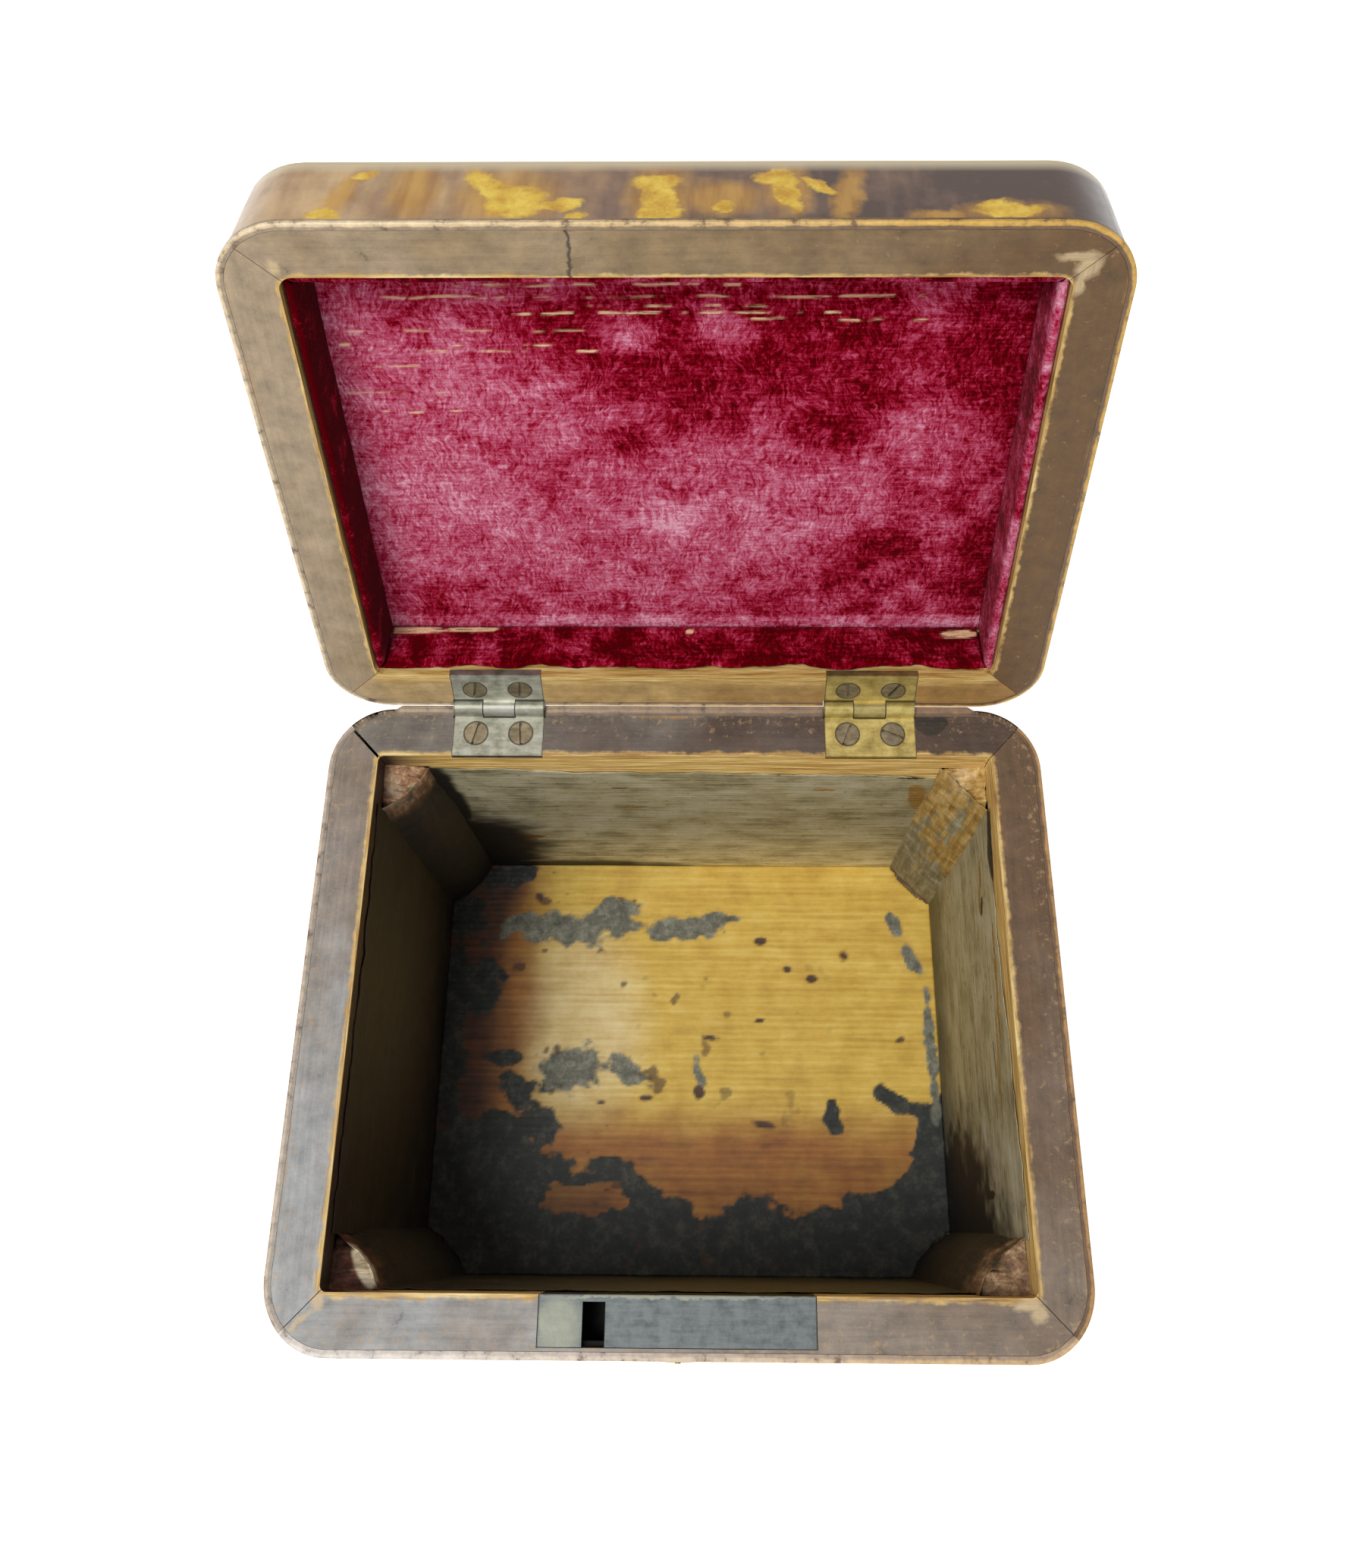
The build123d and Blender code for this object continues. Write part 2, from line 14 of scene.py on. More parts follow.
import bpy
import numpy as np
from mathutils import Matrix, Vector


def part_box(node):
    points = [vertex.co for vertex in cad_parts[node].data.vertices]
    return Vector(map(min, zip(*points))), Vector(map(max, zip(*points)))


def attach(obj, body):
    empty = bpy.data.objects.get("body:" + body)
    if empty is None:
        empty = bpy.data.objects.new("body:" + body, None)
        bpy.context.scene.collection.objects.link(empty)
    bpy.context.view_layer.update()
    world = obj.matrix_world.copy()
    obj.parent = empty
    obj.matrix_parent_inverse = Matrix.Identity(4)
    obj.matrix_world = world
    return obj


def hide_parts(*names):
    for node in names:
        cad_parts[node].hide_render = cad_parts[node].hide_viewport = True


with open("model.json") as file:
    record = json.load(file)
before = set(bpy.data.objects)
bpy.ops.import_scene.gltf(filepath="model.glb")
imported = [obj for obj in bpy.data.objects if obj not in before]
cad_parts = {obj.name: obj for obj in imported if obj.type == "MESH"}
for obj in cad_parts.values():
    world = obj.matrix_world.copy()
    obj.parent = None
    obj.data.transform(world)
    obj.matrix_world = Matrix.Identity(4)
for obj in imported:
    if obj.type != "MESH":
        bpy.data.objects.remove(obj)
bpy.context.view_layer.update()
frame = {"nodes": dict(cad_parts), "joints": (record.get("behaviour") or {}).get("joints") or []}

log = logging.getLogger("tortoiseshell_box")

Socket = bpy.types.NodeSocket
Value = Socket | float | str | tuple | None

SIDES = ("front", "back", "left", "right")
# Half the width and depth of the veneered outline, of the edging that stands proud of it, and of the inside.
OUTLINE, CORNER = (0.0600, 0.0480), 0.0100
PROUD_OUTLINE, PROUD_CORNER = (0.0603, 0.0483), 0.0103
INSIDE = (0.052, 0.040)
RIM = 0.0880


# Numbers and surfaces


def linear(colour: str | float) -> tuple[float, float, float, float]:
    """Turns an sRGB hex colour, or a grey level that is linear already, into linear RGB and alpha."""
    if not isinstance(colour, str):
        return (colour, colour, colour, 1.0)
    parts = [int(colour[i:i + 2], 16) / 255 for i in (1, 3, 5)]
    return (*(c / 12.92 if c <= 0.04045 else ((c + 0.055) / 1.055) ** 2.4 for c in parts), 1.0)


def smooth(t: np.ndarray) -> np.ndarray:
    """Smoothstep of t held between 0 and 1: 3t² - 2t³."""
    held = np.clip(t, 0.0, 1.0)
    return held * held * (3 - 2 * held)


@dataclass(frozen=True)
class Unevenness:
    """A seeded random height over a plane, such as a torn edge, a wrinkle or a worn patch has.

    Attributes:
        seed: which of the random fields this is.
        size: metres between the coarsest lattice points.
        octaves: how many times the lattice is halved.
    """

    seed: int
    size: float
    octaves: int = 4

    def at(self, x: np.ndarray, y: np.ndarray) -> np.ndarray:
        """Heights from -1 to 1: in each octave, smoothstep joins the four lattice values round a point."""
        random, side = np.random.default_rng(self.seed), 67
        total, weight = np.zeros(np.broadcast(x, y).shape), 0.0
        for octave in range(self.octaves):
            lattice = random.uniform(-1, 1, (side, side))
            u, v = x / self.size * 2**octave + 0.37, y / self.size * 2**octave + 0.71
            i, j = np.floor(u).astype(int), np.floor(v).astype(int)
            s, t = smooth(u - i), smooth(v - j)
            low, high = (
                lattice[i % side, row % side] * (1 - s) + lattice[(i + 1) % side, row % side] * s
                for row in (j, j + 1)
            )
            total += (low * (1 - t) + high * t) / 2**octave
            weight += 1 / 2**octave
        return total / weight


@dataclass(frozen=True)
class Mark:
    """An elliptical mark on a surface: its centre, its half sizes and its lean to the left in degrees."""

    x: float
    y: float
    half_x: float
    half_y: float
    lean: float = 0.0

    def inside(self, x: np.ndarray, y: np.ndarray) -> np.ndarray:
        """1 at the centre, 0 on the outline and less outside: 1 - |turned and scaled distance|."""
        c, s = math.cos(math.radians(self.lean)), math.sin(math.radians(self.lean))
        dx, dy = x - self.x, y - self.y
        return 1 - np.hypot((dx * c + dy * s) / self.half_x, (dy * c - dx * s) / self.half_y)


Marks = tuple[Mark, ...]


def marks(*rows: tuple[float, ...]) -> Marks:
    """Marks from rows of a centre and half sizes in millimetres, and a lean in degrees where it isn't 0."""
    return tuple(Mark(*(round(value / 1000, 7) for value in row[:4]), *row[4:]) for row in rows)


def union(several: Marks, x: np.ndarray, y: np.ndarray) -> np.ndarray:
    """The greatest of several marks' inside values at each point."""
    return np.max([mark.inside(x, y) for mark in several], axis=0)


def patches(
    several: Marks, x: np.ndarray, y: np.ndarray, uneven: np.ndarray, blur: float, middle: float = 0.5
) -> np.ndarray:
    """1 inside marks and 0 outside, by smoothstep of (inside values + uneven heights) / blur + middle."""
    return smooth((union(several, x, y) + uneven) / blur + middle) if several else 0 * y


@dataclass(frozen=True)
class LidFold:
    """A point on the line of the hinge pins, and the angle in radians at which the lid stands open."""

    pin: tuple[float, float, float]
    angle: float

    def opened(self, points: np.ndarray) -> np.ndarray:
        """Turns places on the closed lid about the pins, by y' = y cos + z sin and z' = z cos - y sin."""
        c, s = math.cos(self.angle), math.sin(self.angle)
        y, z = points[..., 1] - self.pin[1], points[..., 2] - self.pin[2]
        return np.stack([points[..., 0], self.pin[1] + y * c + z * s, self.pin[2] + z * c - y * s], axis=-1)

    def closing(self) -> tuple[Vector, tuple[float, float, float]]:
        """The move and the turn that bring a place on the open lid back to the closed one."""
        pin = Vector(self.pin)
        return pin - Matrix.Rotation(self.angle, 3, "X") @ pin, (self.angle, 0.0, 0.0)


def linked(name: str, data: bpy.types.ID) -> bpy.types.Object:
    """Makes an object of the data and links it to the scene."""
    made = bpy.data.objects.new(name, data)
    bpy.context.scene.collection.objects.link(made)
    return made


def surface(
    name: str,
    points: np.ndarray,
    fields: dict[str, np.ndarray] | None = None,
    shown: np.ndarray | None = None,
    wraps: bool = False,
    flipped: bool = False,
) -> bpy.types.Object:
    """Makes a mesh of four-cornered faces between the neighbours on a grid of points.

    Args:
        name: the piece's name.
        points: places of shape (rows, columns, 3).
        fields: values of shape (rows, columns), kept as attributes of the points.
        shown: which faces are kept, of shape (rows - 1, columns - 1).
        wraps: whether the last column joins the first, and a face each closes the first and last rows.
        flipped: whether the columns are taken from the last to the first, to turn the faces over.

    Returns:
        The new object, linked to the scene.
    """
    if flipped:
        points, fields = points[:, ::-1], {label: values[:, ::-1] for label, values in fields.items()}
    rows, columns = points.shape[:2]
    index = np.arange(rows * columns).reshape(rows, columns)
    if wraps:
        index = np.concatenate([index, index[:, :1]], axis=1)
    faces = np.stack([index[:-1, :-1], index[:-1, 1:], index[1:, 1:], index[1:, :-1]], axis=-1)
    faces = (faces[shown] if shown is not None else faces.reshape(-1, 4)).tolist()
    if wraps:
        faces += [index[0, -2::-1].tolist(), index[-1, :-1].tolist()]
    mesh = bpy.data.meshes.new(name)
    mesh.from_pydata(points.reshape(-1, 3).tolist(), [], faces)
    for label, values in (fields or {}).items():
        layer = mesh.attributes.new(label, "FLOAT", "POINT")
        layer.data.foreach_set("value", np.ascontiguousarray(values, np.float32).ravel())
    mesh.shade_smooth()
    return linked(name, mesh)


def thicken(piece: bpy.types.Object, thickness: float) -> None:
    """Gives a sheet its thickness behind the side that shows."""
    solid = piece.modifiers.new("thickness", "SOLIDIFY")
    solid.thickness, solid.offset = thickness, -1.0


# Materials


class Nodes:
    """A node tree, and the one way in which nodes are added to it."""

    def __init__(self, tree: bpy.types.NodeTree) -> None:
        """Takes up a material's or the room's tree."""
        self.tree = tree

    def join(self, sockets: Iterable[Socket], values: Iterable[Value]) -> None:
        """Links or sets each input: a hex colour in linear light, and None leaves the input alone."""
        for socket, value in zip(sockets, values):
            if isinstance(value, Socket):
                self.tree.links.new(value, socket)
            elif value is not None:
                socket.default_value = linear(value) if isinstance(value, str) else value

    def add(self, kind: str, *values: Value, stops: tuple = (), give: str = "", **settings: object) -> Socket:
        """Adds a node with its settings and links.

        Args:
            kind: the node's type, without its prefix, and then the operation of a maths node.
            values: what its input sockets are linked or set to, in the order in which they show.
            stops: the places and colours of a colour ramp.
            give: the name of the output, if it isn't the first that shows.
            settings: the node's own properties.

        Returns:
            The output.
        """
        kind, _, operation = kind.partition(" ")
        node = self.tree.nodes.new("ShaderNode" + kind)
        if operation:
            node.operation = operation
        for name, value in settings.items():
            setattr(node, name, value)
        for number, (place, colour) in enumerate(stops):
            ramp = node.color_ramp.elements
            stop = ramp[number] if number < 1 else ramp.new(place) if number < len(stops) - 1 else ramp[-1]
            stop.position, stop.color = place, linear(colour)
        self.join((socket for socket in node.inputs if socket.enabled), values)
        return node.outputs[give] if give else next(socket for socket in node.outputs if socket.enabled)

    def seen(self, *kinds: str) -> Socket:
        """1 for the kinds of rays that show a thing, and 0 for those that only light the box."""
        rays = [self.add("LightPath", give=f"Is {kind} Ray") for kind in kinds]
        either = rays[0]
        for ray in rays[1:]:
            either = self.add("Math ADD", either, ray, use_clamp=True)
        return either


class Shader(Nodes):
    """The tree of one material, whose surface is a Principled BSDF."""

    def __init__(self, name: str, fold: LidFold | None = None) -> None:
        """Starts the material, and the place on the closed box, taken through the fold for the lid."""
        self.material = bpy.data.materials.new(name)
        self.material.use_nodes = True
        super().__init__(self.material.node_tree)
        self.where = self.add("TexCoord", give="Object")
        if fold is not None:
            self.where = self.add("Mapping", self.where, *fold.closing())

    def covered(self, colour: Value, *layers: tuple[Value, Value]) -> Socket:
        """Lays tints over a colour in turn, each by an amount, or by the name of one on the surface."""
        for amount, tint in layers:
            if isinstance(amount, str):
                amount = self.add("Attribute", attribute_name=amount, give="Fac")
            colour = self.add("Mix", amount, colour, tint, data_type="RGBA")
        return colour

    def between(self, axis: str, *limits: float) -> Socket:
        """How far the place is between two coordinates: from 0 to 1, or between the other two limits."""
        return self.add("MapRange", self.add("SeparateXYZ", self.where, give=axis), *limits)

    def drawn_out(self, stretch: tuple[float, ...], scale: float, detail: float, rough: float) -> Socket:
        """Noise stretched by different scales along the axes, as grain, fibres or rolling marks are."""
        stretched = self.add("Mapping", self.where, None, None, stretch)
        return self.add("TexNoise", stretched, scale, detail, rough)

    def roughened(self, size: float, reach: float) -> Socket:
        """The place moved about at random by up to reach, at a scale of size, which makes outlines ragged."""
        noise = self.add("TexNoise", self.where, 1 / size, 5.0, 0.6, give="Color")
        centred = self.add("VectorMath SUBTRACT", noise, (0.5, 0.5, 0.5))
        moved = self.add("VectorMath SCALE", centred, 4 * reach)
        return self.add("VectorMath ADD", self.where, moved)

    def spots(self, where: Value, several: Marks, upright: bool = False) -> Socket:
        """The nearest of several marks as a field: 0 at a centre, 1 on an outline and more outside.

        Args:
            where: the place, already roughened if the outlines should be ragged.
            several: the marks.
            upright: whether their second axis is z instead of y.

        Returns:
            The field.
        """
        nearest = None
        for mark in several:
            lean = math.radians(mark.lean)
            if upright:
                laid = (mark.x, 0.0, mark.y), (0.0, -lean, 0.0), (mark.half_x, 1e3, mark.half_y)
            else:
                laid = (mark.x, mark.y, 0.0), (0.0, 0.0, lean), (mark.half_x, mark.half_y, 1e3)
            turned = self.add("Mapping", where, *laid, vector_type="TEXTURE")
            away = self.add("VectorMath LENGTH", turned)
            nearest = away if nearest is None else self.add("Math MINIMUM", nearest, away)
        return nearest

    def from_arris(self, where: Value, half: tuple[float, ...] = OUTLINE, radius: float = CORNER) -> Socket:
        """Metres outside a rounded rectangle about the middle: |max(|p| - half + radius, 0)| - radius."""
        size = self.add("VectorMath ABSOLUTE", where)
        past = (half[0] - radius, half[1] - radius, 10.0)
        past = self.add("VectorMath SUBTRACT", size, past)
        held = self.add("VectorMath MAXIMUM", past, (0.0, 0.0, 0.0))
        away = self.add("VectorMath LENGTH", held)
        return self.add("Math SUBTRACT", away, radius)

    def dressed(
        self, colour: Value, rough: Value, height: Value = None, depth: float = 0.0, **more: Value
    ) -> bpy.types.Material:
        """Ends the material.

        Args:
            colour: the base colour.
            rough: the roughness.
            height: what the bump follows, from 0 to 1.
            depth: the bump's height, in metres.
            more: the surface's other inputs, with _ for each space in their names.

        Returns:
            The material.
        """
        inputs = {"Base Color": colour, "Roughness": rough}
        inputs |= {name.replace("_", " "): value for name, value in more.items()}
        if height is not None:
            inputs["Normal"] = self.add("Bump", 1.0, depth, None, height)
        skin = self.tree.nodes["Principled BSDF"]
        self.join((skin.inputs[name] for name in inputs), inputs.values())
        return self.material


class Grain(Enum):
    """Which way a piece of wood was cut, as the noise's scale along each axis, per metre."""

    ALONG_X = (60.0, 1100.0, 1100.0)
    ALONG_Y = (1100.0, 60.0, 1100.0)
    UPRIGHT = (1100.0, 1100.0, 90.0)


@dataclass(frozen=True)
class Finish:
    """What a piece is finished with: its material's name, and the lid's fold if it is a piece of the lid."""

    name: str
    fold: LidFold | None = None

    def material(self) -> bpy.types.Material:
        """The material, which is made the first time that it is asked for."""
        return bpy.data.materials.get(self.name) or self.paint(Shader(self.name, self.fold))

    def paint(self, shader: Shader) -> bpy.types.Material:
        """Adds the finish's nodes and ends the material."""
        raise NotImplementedError


@dataclass(frozen=True)
class Tortoiseshell(Finish):
    """Polished horn sheets on a golden ground: see-through gold islands with amber borders in brown.

    Attributes:
        islands: golden islands at known places; without them they fall at random.
        clouds: amber clouds round and between them.
        mottle: size of a random island.
        drift: how fast the brown gets paler to the right, per metre.
        cut_edge: whether the sheet's own edge shows, as a straw-coloured line.
    """

    islands: Marks = ()
    clouds: Marks = ()
    mottle: float = 0.013
    drift: float = -1.5
    cut_edge: bool = False

    def paint(self, shader: Shader) -> bpy.types.Material:
        """Brown with clouds and upright streaks, amber over it, and gold where the island field is high."""
        add, where, torn = shader.add, shader.where, shader.roughened(0.0030, 0.0011)
        cloud = add("TexNoise", where, 120.0, 5.0, 0.6)
        streak = shader.drawn_out((420.0, 420.0, 70.0), 1.0, 3.0, 0.55)
        if self.islands:
            gold = add("MapRange", shader.spots(torn, self.islands, upright=True), 1.3, 0.88)
            amber = add("MapRange", shader.spots(torn, self.clouds, upright=True), 1.4, 0.6, 0.0, 0.85)
        else:
            noise = add("TexNoise", torn, 0.75 / self.mottle, 1.5, None, None, 0.8)
            gold = add("MapRange", noise, 0.57, 0.64)
            amber = add("MapRange", noise, 0.45, 0.60, 0.0, 0.9)
            if self.fold is not None:
                calm = shader.between("Y", -0.0450, -0.0370)
                gold, amber = (add("Math MULTIPLY", field, calm) for field in (gold, amber))
        side = add("VectorMath DOT_PRODUCT", where, (self.drift, 0.0, 0.0))
        mixed = add("Math MULTIPLY_ADD", streak, 0.5, cloud)
        tone = add("MapRange", add("Math ADD", mixed, side), 0.35, 1.45)
        browns = ((0.1, "#54423B"), (0.35, "#7A6050"), (0.6, "#9E7E5D"), (0.9, "#C6A67C"))
        ground = add("ValToRGB", tone, stops=browns)
        honey = add("ValToRGB", streak, stops=((0.35, "#A4732F"), (0.6, "#C09243")))
        grain = add("TexNoise", where, 380.0, 5.0, 0.7)
        yellow = add("ValToRGB", grain, stops=((0.36, "#BF8F26"), (0.5, "#D4AC38"), (0.64, "#E2C24E")))
        colour = shader.covered(ground, (amber, honey), (gold, yellow))
        if self.cut_edge:
            edge = add("MapRange", shader.from_arris(where), -0.0006, -0.0003)
            colour = shader.covered(colour, (edge, "#C6B491"))
        elif self.fold is not None:
            # Paler towards the lid's top edge.
            pale_top_band = shader.between("Z", 0.1010, 0.1032, 0.0, 0.9)
            colour = shader.covered(colour, (pale_top_band, "#C9BB9D"))
        rub = add("TexNoise", where, 400.0, 6.0, 0.7)
        rough = add("MapRange", rub, 0.0, 1.0, 0.20, 0.46)
        return shader.dressed(colour, rough, rub, 0.00005, IOR=1.55, Coat_Weight=0.25, Coat_Roughness=0.22)


@dataclass(frozen=True)
class StainedWood(Finish):
    """Old mahogany-brown stain on fruitwood, greyer in worn patches and towards one side as painted sheen,
    and broken to bare wood along its arrises.

    Attributes:
        grain: which way the wall's grain runs.
        cavity_radius: radius of the inside's corners.
        worn, deep, silver: its colours where it is greyer, where it is whole and where it is greyest; the
            grey is partly wear and partly painted sheen.
        painted_sheen_slope: how fast the grey of the painted sheen grows towards each axis, per metre.
        figure: how strongly the grain shows.
        margin: width of the bare strip along the inside arris.
        pale, dark: broken places that show fresh wood, and stained ones.
        crack: x of a split across the rim, if there is one.
    """

    grain: Grain = Grain.ALONG_X
    cavity_radius: float = 0.001
    worn: str = "#7F7366"
    deep: str = "#5F472F"
    silver: str = "#8F908F"
    painted_sheen_slope: tuple[float, float, float] = (-6.0, -5.5, 0.0)
    figure: float = 0.7
    margin: float = 0.0010
    pale: Marks = ()
    dark: Marks = ()
    crack: float | None = None

    def paint(self, shader: Shader) -> bpy.types.Material:
        """Stain by side, greyer towards one side as painted sheen, shaded by grain and clouds, then the
        arrises, the marks, and the inside face with its painted shade and painted light.
        """
        add, where, ragged = shader.add, shader.where, shader.roughened(0.0022, 0.0005)
        streak = shader.drawn_out(self.grain.value, 1.3, 6.0, 0.7)
        cloud = add("TexNoise", where, 260.0, 7.0, 0.72)
        fleck = add("TexNoise", where, 750.0, 6.0, 0.75)
        wide = add("TexNoise", where, 70.0, 4.0)
        # Painted sheen: the stain turns greyer towards one side of the rim, standing in for the light's sheen
        # on the finish.
        side = add("VectorMath DOT_PRODUCT", where, self.painted_sheen_slope)
        rubbed = add("Math MULTIPLY_ADD", wide, 0.9, side, use_clamp=True)
        colour = add("ValToRGB", rubbed, stops=((0.05, self.deep), (0.62, self.worn), (1.0, self.silver)))
        mixed = add("Math MULTIPLY_ADD", streak, self.figure, cloud)
        mixed = add("Math ADD", mixed, 0.5 - 0.5 * self.figure)
        shade = add("MapRange", mixed, 0.6, 1.4, 0.4, 1.6)
        colour = add("VectorMath SCALE", colour, shade)

        most = 0.05 if self.fold is None else -0.02
        near = add("MapRange", shader.from_arris(where), -0.007, -0.001, -0.05, most)
        dust = add("Math ADD", fleck, near)
        specks = add("ValToRGB", dust, stops=((0.58, 0.0), (0.66, 0.55)))
        pits = add("ValToRGB", cloud, stops=((0.28, 0.6), (0.36, 0.0)))
        fresh = ((0.3, "#6E4F25"), (0.42, "#A27C3C"), (0.55, "#C7A765"), (0.7, "#E2CF9C"))
        bare = add("ValToRGB", streak, stops=fresh)
        inner = shader.from_arris(ragged, INSIDE, self.cavity_radius)
        edge = add("MapRange", inner, self.margin, 0.3 * self.margin)
        strewn = add("Math MULTIPLY_ADD", wide, 0.006, shader.from_arris(ragged))
        rim = add("MapRange", strewn, 0.0024, 0.0034, 0.0, 0.7)
        colour = shader.covered(
            colour, (specks, "#A98A62"), (pits, "#33261D"), (edge, bare), (rim, "#A67B47")
        )

        for several, tint, far, near in (
            (self.dark, "#221B10", 1.08, 0.95),
            (self.pale, "#BCA57E", 1.25, 0.6),
        ):
            if several:
                hold = add("MapRange", shader.spots(ragged, several), far, near)
                hold = add("Math MULTIPLY", hold, streak)
                hold = add("Math MULTIPLY", hold, 1.6, use_clamp=True)
                colour = shader.covered(colour, (hold, tint))
        if self.crack is not None:
            jagged = shader.roughened(0.0025, 0.0008)
            off = add("Math SUBTRACT", add("SeparateXYZ", jagged, give="X"), self.crack)
            split = add("MapRange", add("Math ABSOLUTE", off), 0.0005, 0.00012, 0.0, 0.9)
            middle = 1000 * self.crack
            chips = marks((middle + 1.2, -42.5, 1.3, 0.9), (middle + 0.4, -47.5, 1.0, 0.5))
            chip = add("MapRange", shader.spots(jagged, chips), 1.1, 0.8, 0.0, 0.8)
            colour = shader.covered(colour, (chip, "#7B6549"), (split, "#33271D"))
        # Painted shade and painted light on the inside face below the rim: dark brown at the left, and the
        # bare wood made 1.3 to 1.5 times paler elsewhere, most at the back.
        if self.fold is None:
            below, shade, back = (
                shader.between(axis, *limits)
                for axis, *limits in (("Z", 0.0879, 0.0875), ("X", -0.0510, -0.0420),
                                      ("Y", 0.038, 0.040, 1.3, 1.5))
            )
            lit = add("VectorMath SCALE", bare, back)
            colour = shader.covered(colour, (below, shader.covered("#2E1A12", (shade, lit))))
        rough = add("MapRange", streak, 0.0, 1.0, 0.4, 0.72)
        height = add("Math MULTIPLY_ADD", mixed, 0.3, fleck)
        return shader.dressed(colour, rough, height, 0.00010)


@dataclass(frozen=True)
class BareBoard(Finish):
    """Plain softwood board, browned by age, as under old boxes: straight grain, dark scuffs."""

    def paint(self, shader: Shader) -> bpy.types.Material:
        """Brown by stretched noise, with scuffs from a cloud."""
        streak = shader.drawn_out(Grain.ALONG_X.value, 0.6, 6.0, 0.6)
        cloud = shader.add("TexNoise", shader.where, 60.0, 5.0, 0.65)
        tone = shader.add("Math MULTIPLY", streak, cloud)
        browns = ((0.08, "#3B2A1C"), (0.24, "#7A5A38"), (0.42, "#A78556"))
        return shader.dressed(shader.add("ValToRGB", tone, stops=browns), 0.62, streak, 0.00015)


@dataclass(frozen=True)
class Edging(Finish):
    """Boxwood strip, scraped and oiled by hand: straw or honey, with stain rubbed into its dents.

    Attributes:
        left, right: its colours at the left and at the right.
        grime: colour of the stain that covers it away from its arris, at the left and at the right.
        rim: height of the rim's face.
    """

    left: str = "#D2BC9A"
    right: str = "#C09848"
    grime: tuple[str, str] = ("#97856D", "#684E34")
    rim: float = 0.0881

    def paint(self, shader: Shader) -> bpy.types.Material:
        """One colour turning to the other from left to right on the arris, and stain 0.5 mm away from it."""
        add, where, ragged = shader.add, shader.where, shader.roughened(0.0030, 0.0002)
        cloud = add("TexNoise", where, 420.0, 6.0, 0.7)
        turned = shader.between("X", -0.045, 0.035)
        clean = shader.covered(self.left, (turned, self.right))
        stain = shader.covered(self.grime[0], (turned, self.grime[1]))
        inside = shader.from_arris(ragged, PROUD_OUTLINE, PROUD_CORNER)
        above = add("Math SUBTRACT", add("SeparateXYZ", ragged, give="Z"), self.rim)
        away = add("Math MAXIMUM", *(add("Math ABSOLUTE", part) for part in (inside, above)))
        colour = shader.covered(clean, (add("MapRange", away, 0.00045, 0.0007), stain))
        shade = add("MapRange", cloud, 0.3, 0.7, 0.6, 1.3)
        colour = add("VectorMath SCALE", colour, shade)
        dents = add("ValToRGB", cloud, stops=((0.36, 0.75), (0.44, 0.0)))
        return shader.dressed(shader.covered(colour, (dents, "#5B4230")), 0.45, cloud, 0.00008)


@dataclass(frozen=True)
class Foil(Finish):
    """Lead foil pasted on wood, gone olive grey, with brush streaks, dust and torn spots of bare wood.

    Attributes:
        tint, shadow, chalk: its colours in the middle, in stains and in dusty streaks.
        foot: how much paler it is at its foot, which is painted light low in the shaded box.
        grain: which way its streaks run.
    """

    tint: str = "#B2A986"
    shadow: str = "#726B52"
    chalk: str = "#CFC9B4"
    foot: float = 1.0
    grain: Grain = Grain.ALONG_X

    def paint(self, shader: Shader) -> bpy.types.Material:
        """Streaks between shadow and tint, chalky flecks, and wood where the sheet's attribute says torn."""
        add, where = shader.add, shader.where
        streak = shader.drawn_out(self.grain.value, 1.1, 6.0, 0.7)
        cloud = add("TexNoise", where, 120.0, 5.0, 0.6)
        tone = add("Math MULTIPLY", add("Math ADD", streak, cloud), 0.5)
        colour = add("ValToRGB", tone, stops=((0.38, self.shadow), (0.51, self.tint), (0.66, self.chalk)))
        # Painted light: where foot is above 1, the foil is made paler towards its foot, low in the shaded
        # box.
        low = shader.between("Z", 0.010, 0.045, self.foot, 1.0)
        colour = add("VectorMath SCALE", colour, low)
        wood = add("ValToRGB", streak, stops=((0.3, "#6B4A20"), (0.5, "#9C7434"), (0.7, "#C09C5C")))
        flake = add("TexNoise", where, 700.0, 6.0, 0.75)
        holes = add("ValToRGB", flake, stops=((0.34, 0.75), (0.40, 0.0)))
        flecks = add("ValToRGB", flake, stops=((0.58, 0.0), (0.66, 0.5)))
        # The sheet's dark attribute is partly painted shade, and partly black slits and a darker foot.
        colour = shader.covered(
            colour, ("torn", wood), (holes, "#2B261B"), (flecks, self.chalk), ("dark", "#16130F")
        )
        rough = add("MapRange", cloud, 0.0, 1.0, 0.42, 0.7)
        return shader.dressed(colour, rough, streak, 0.0002, Metallic=0.15)


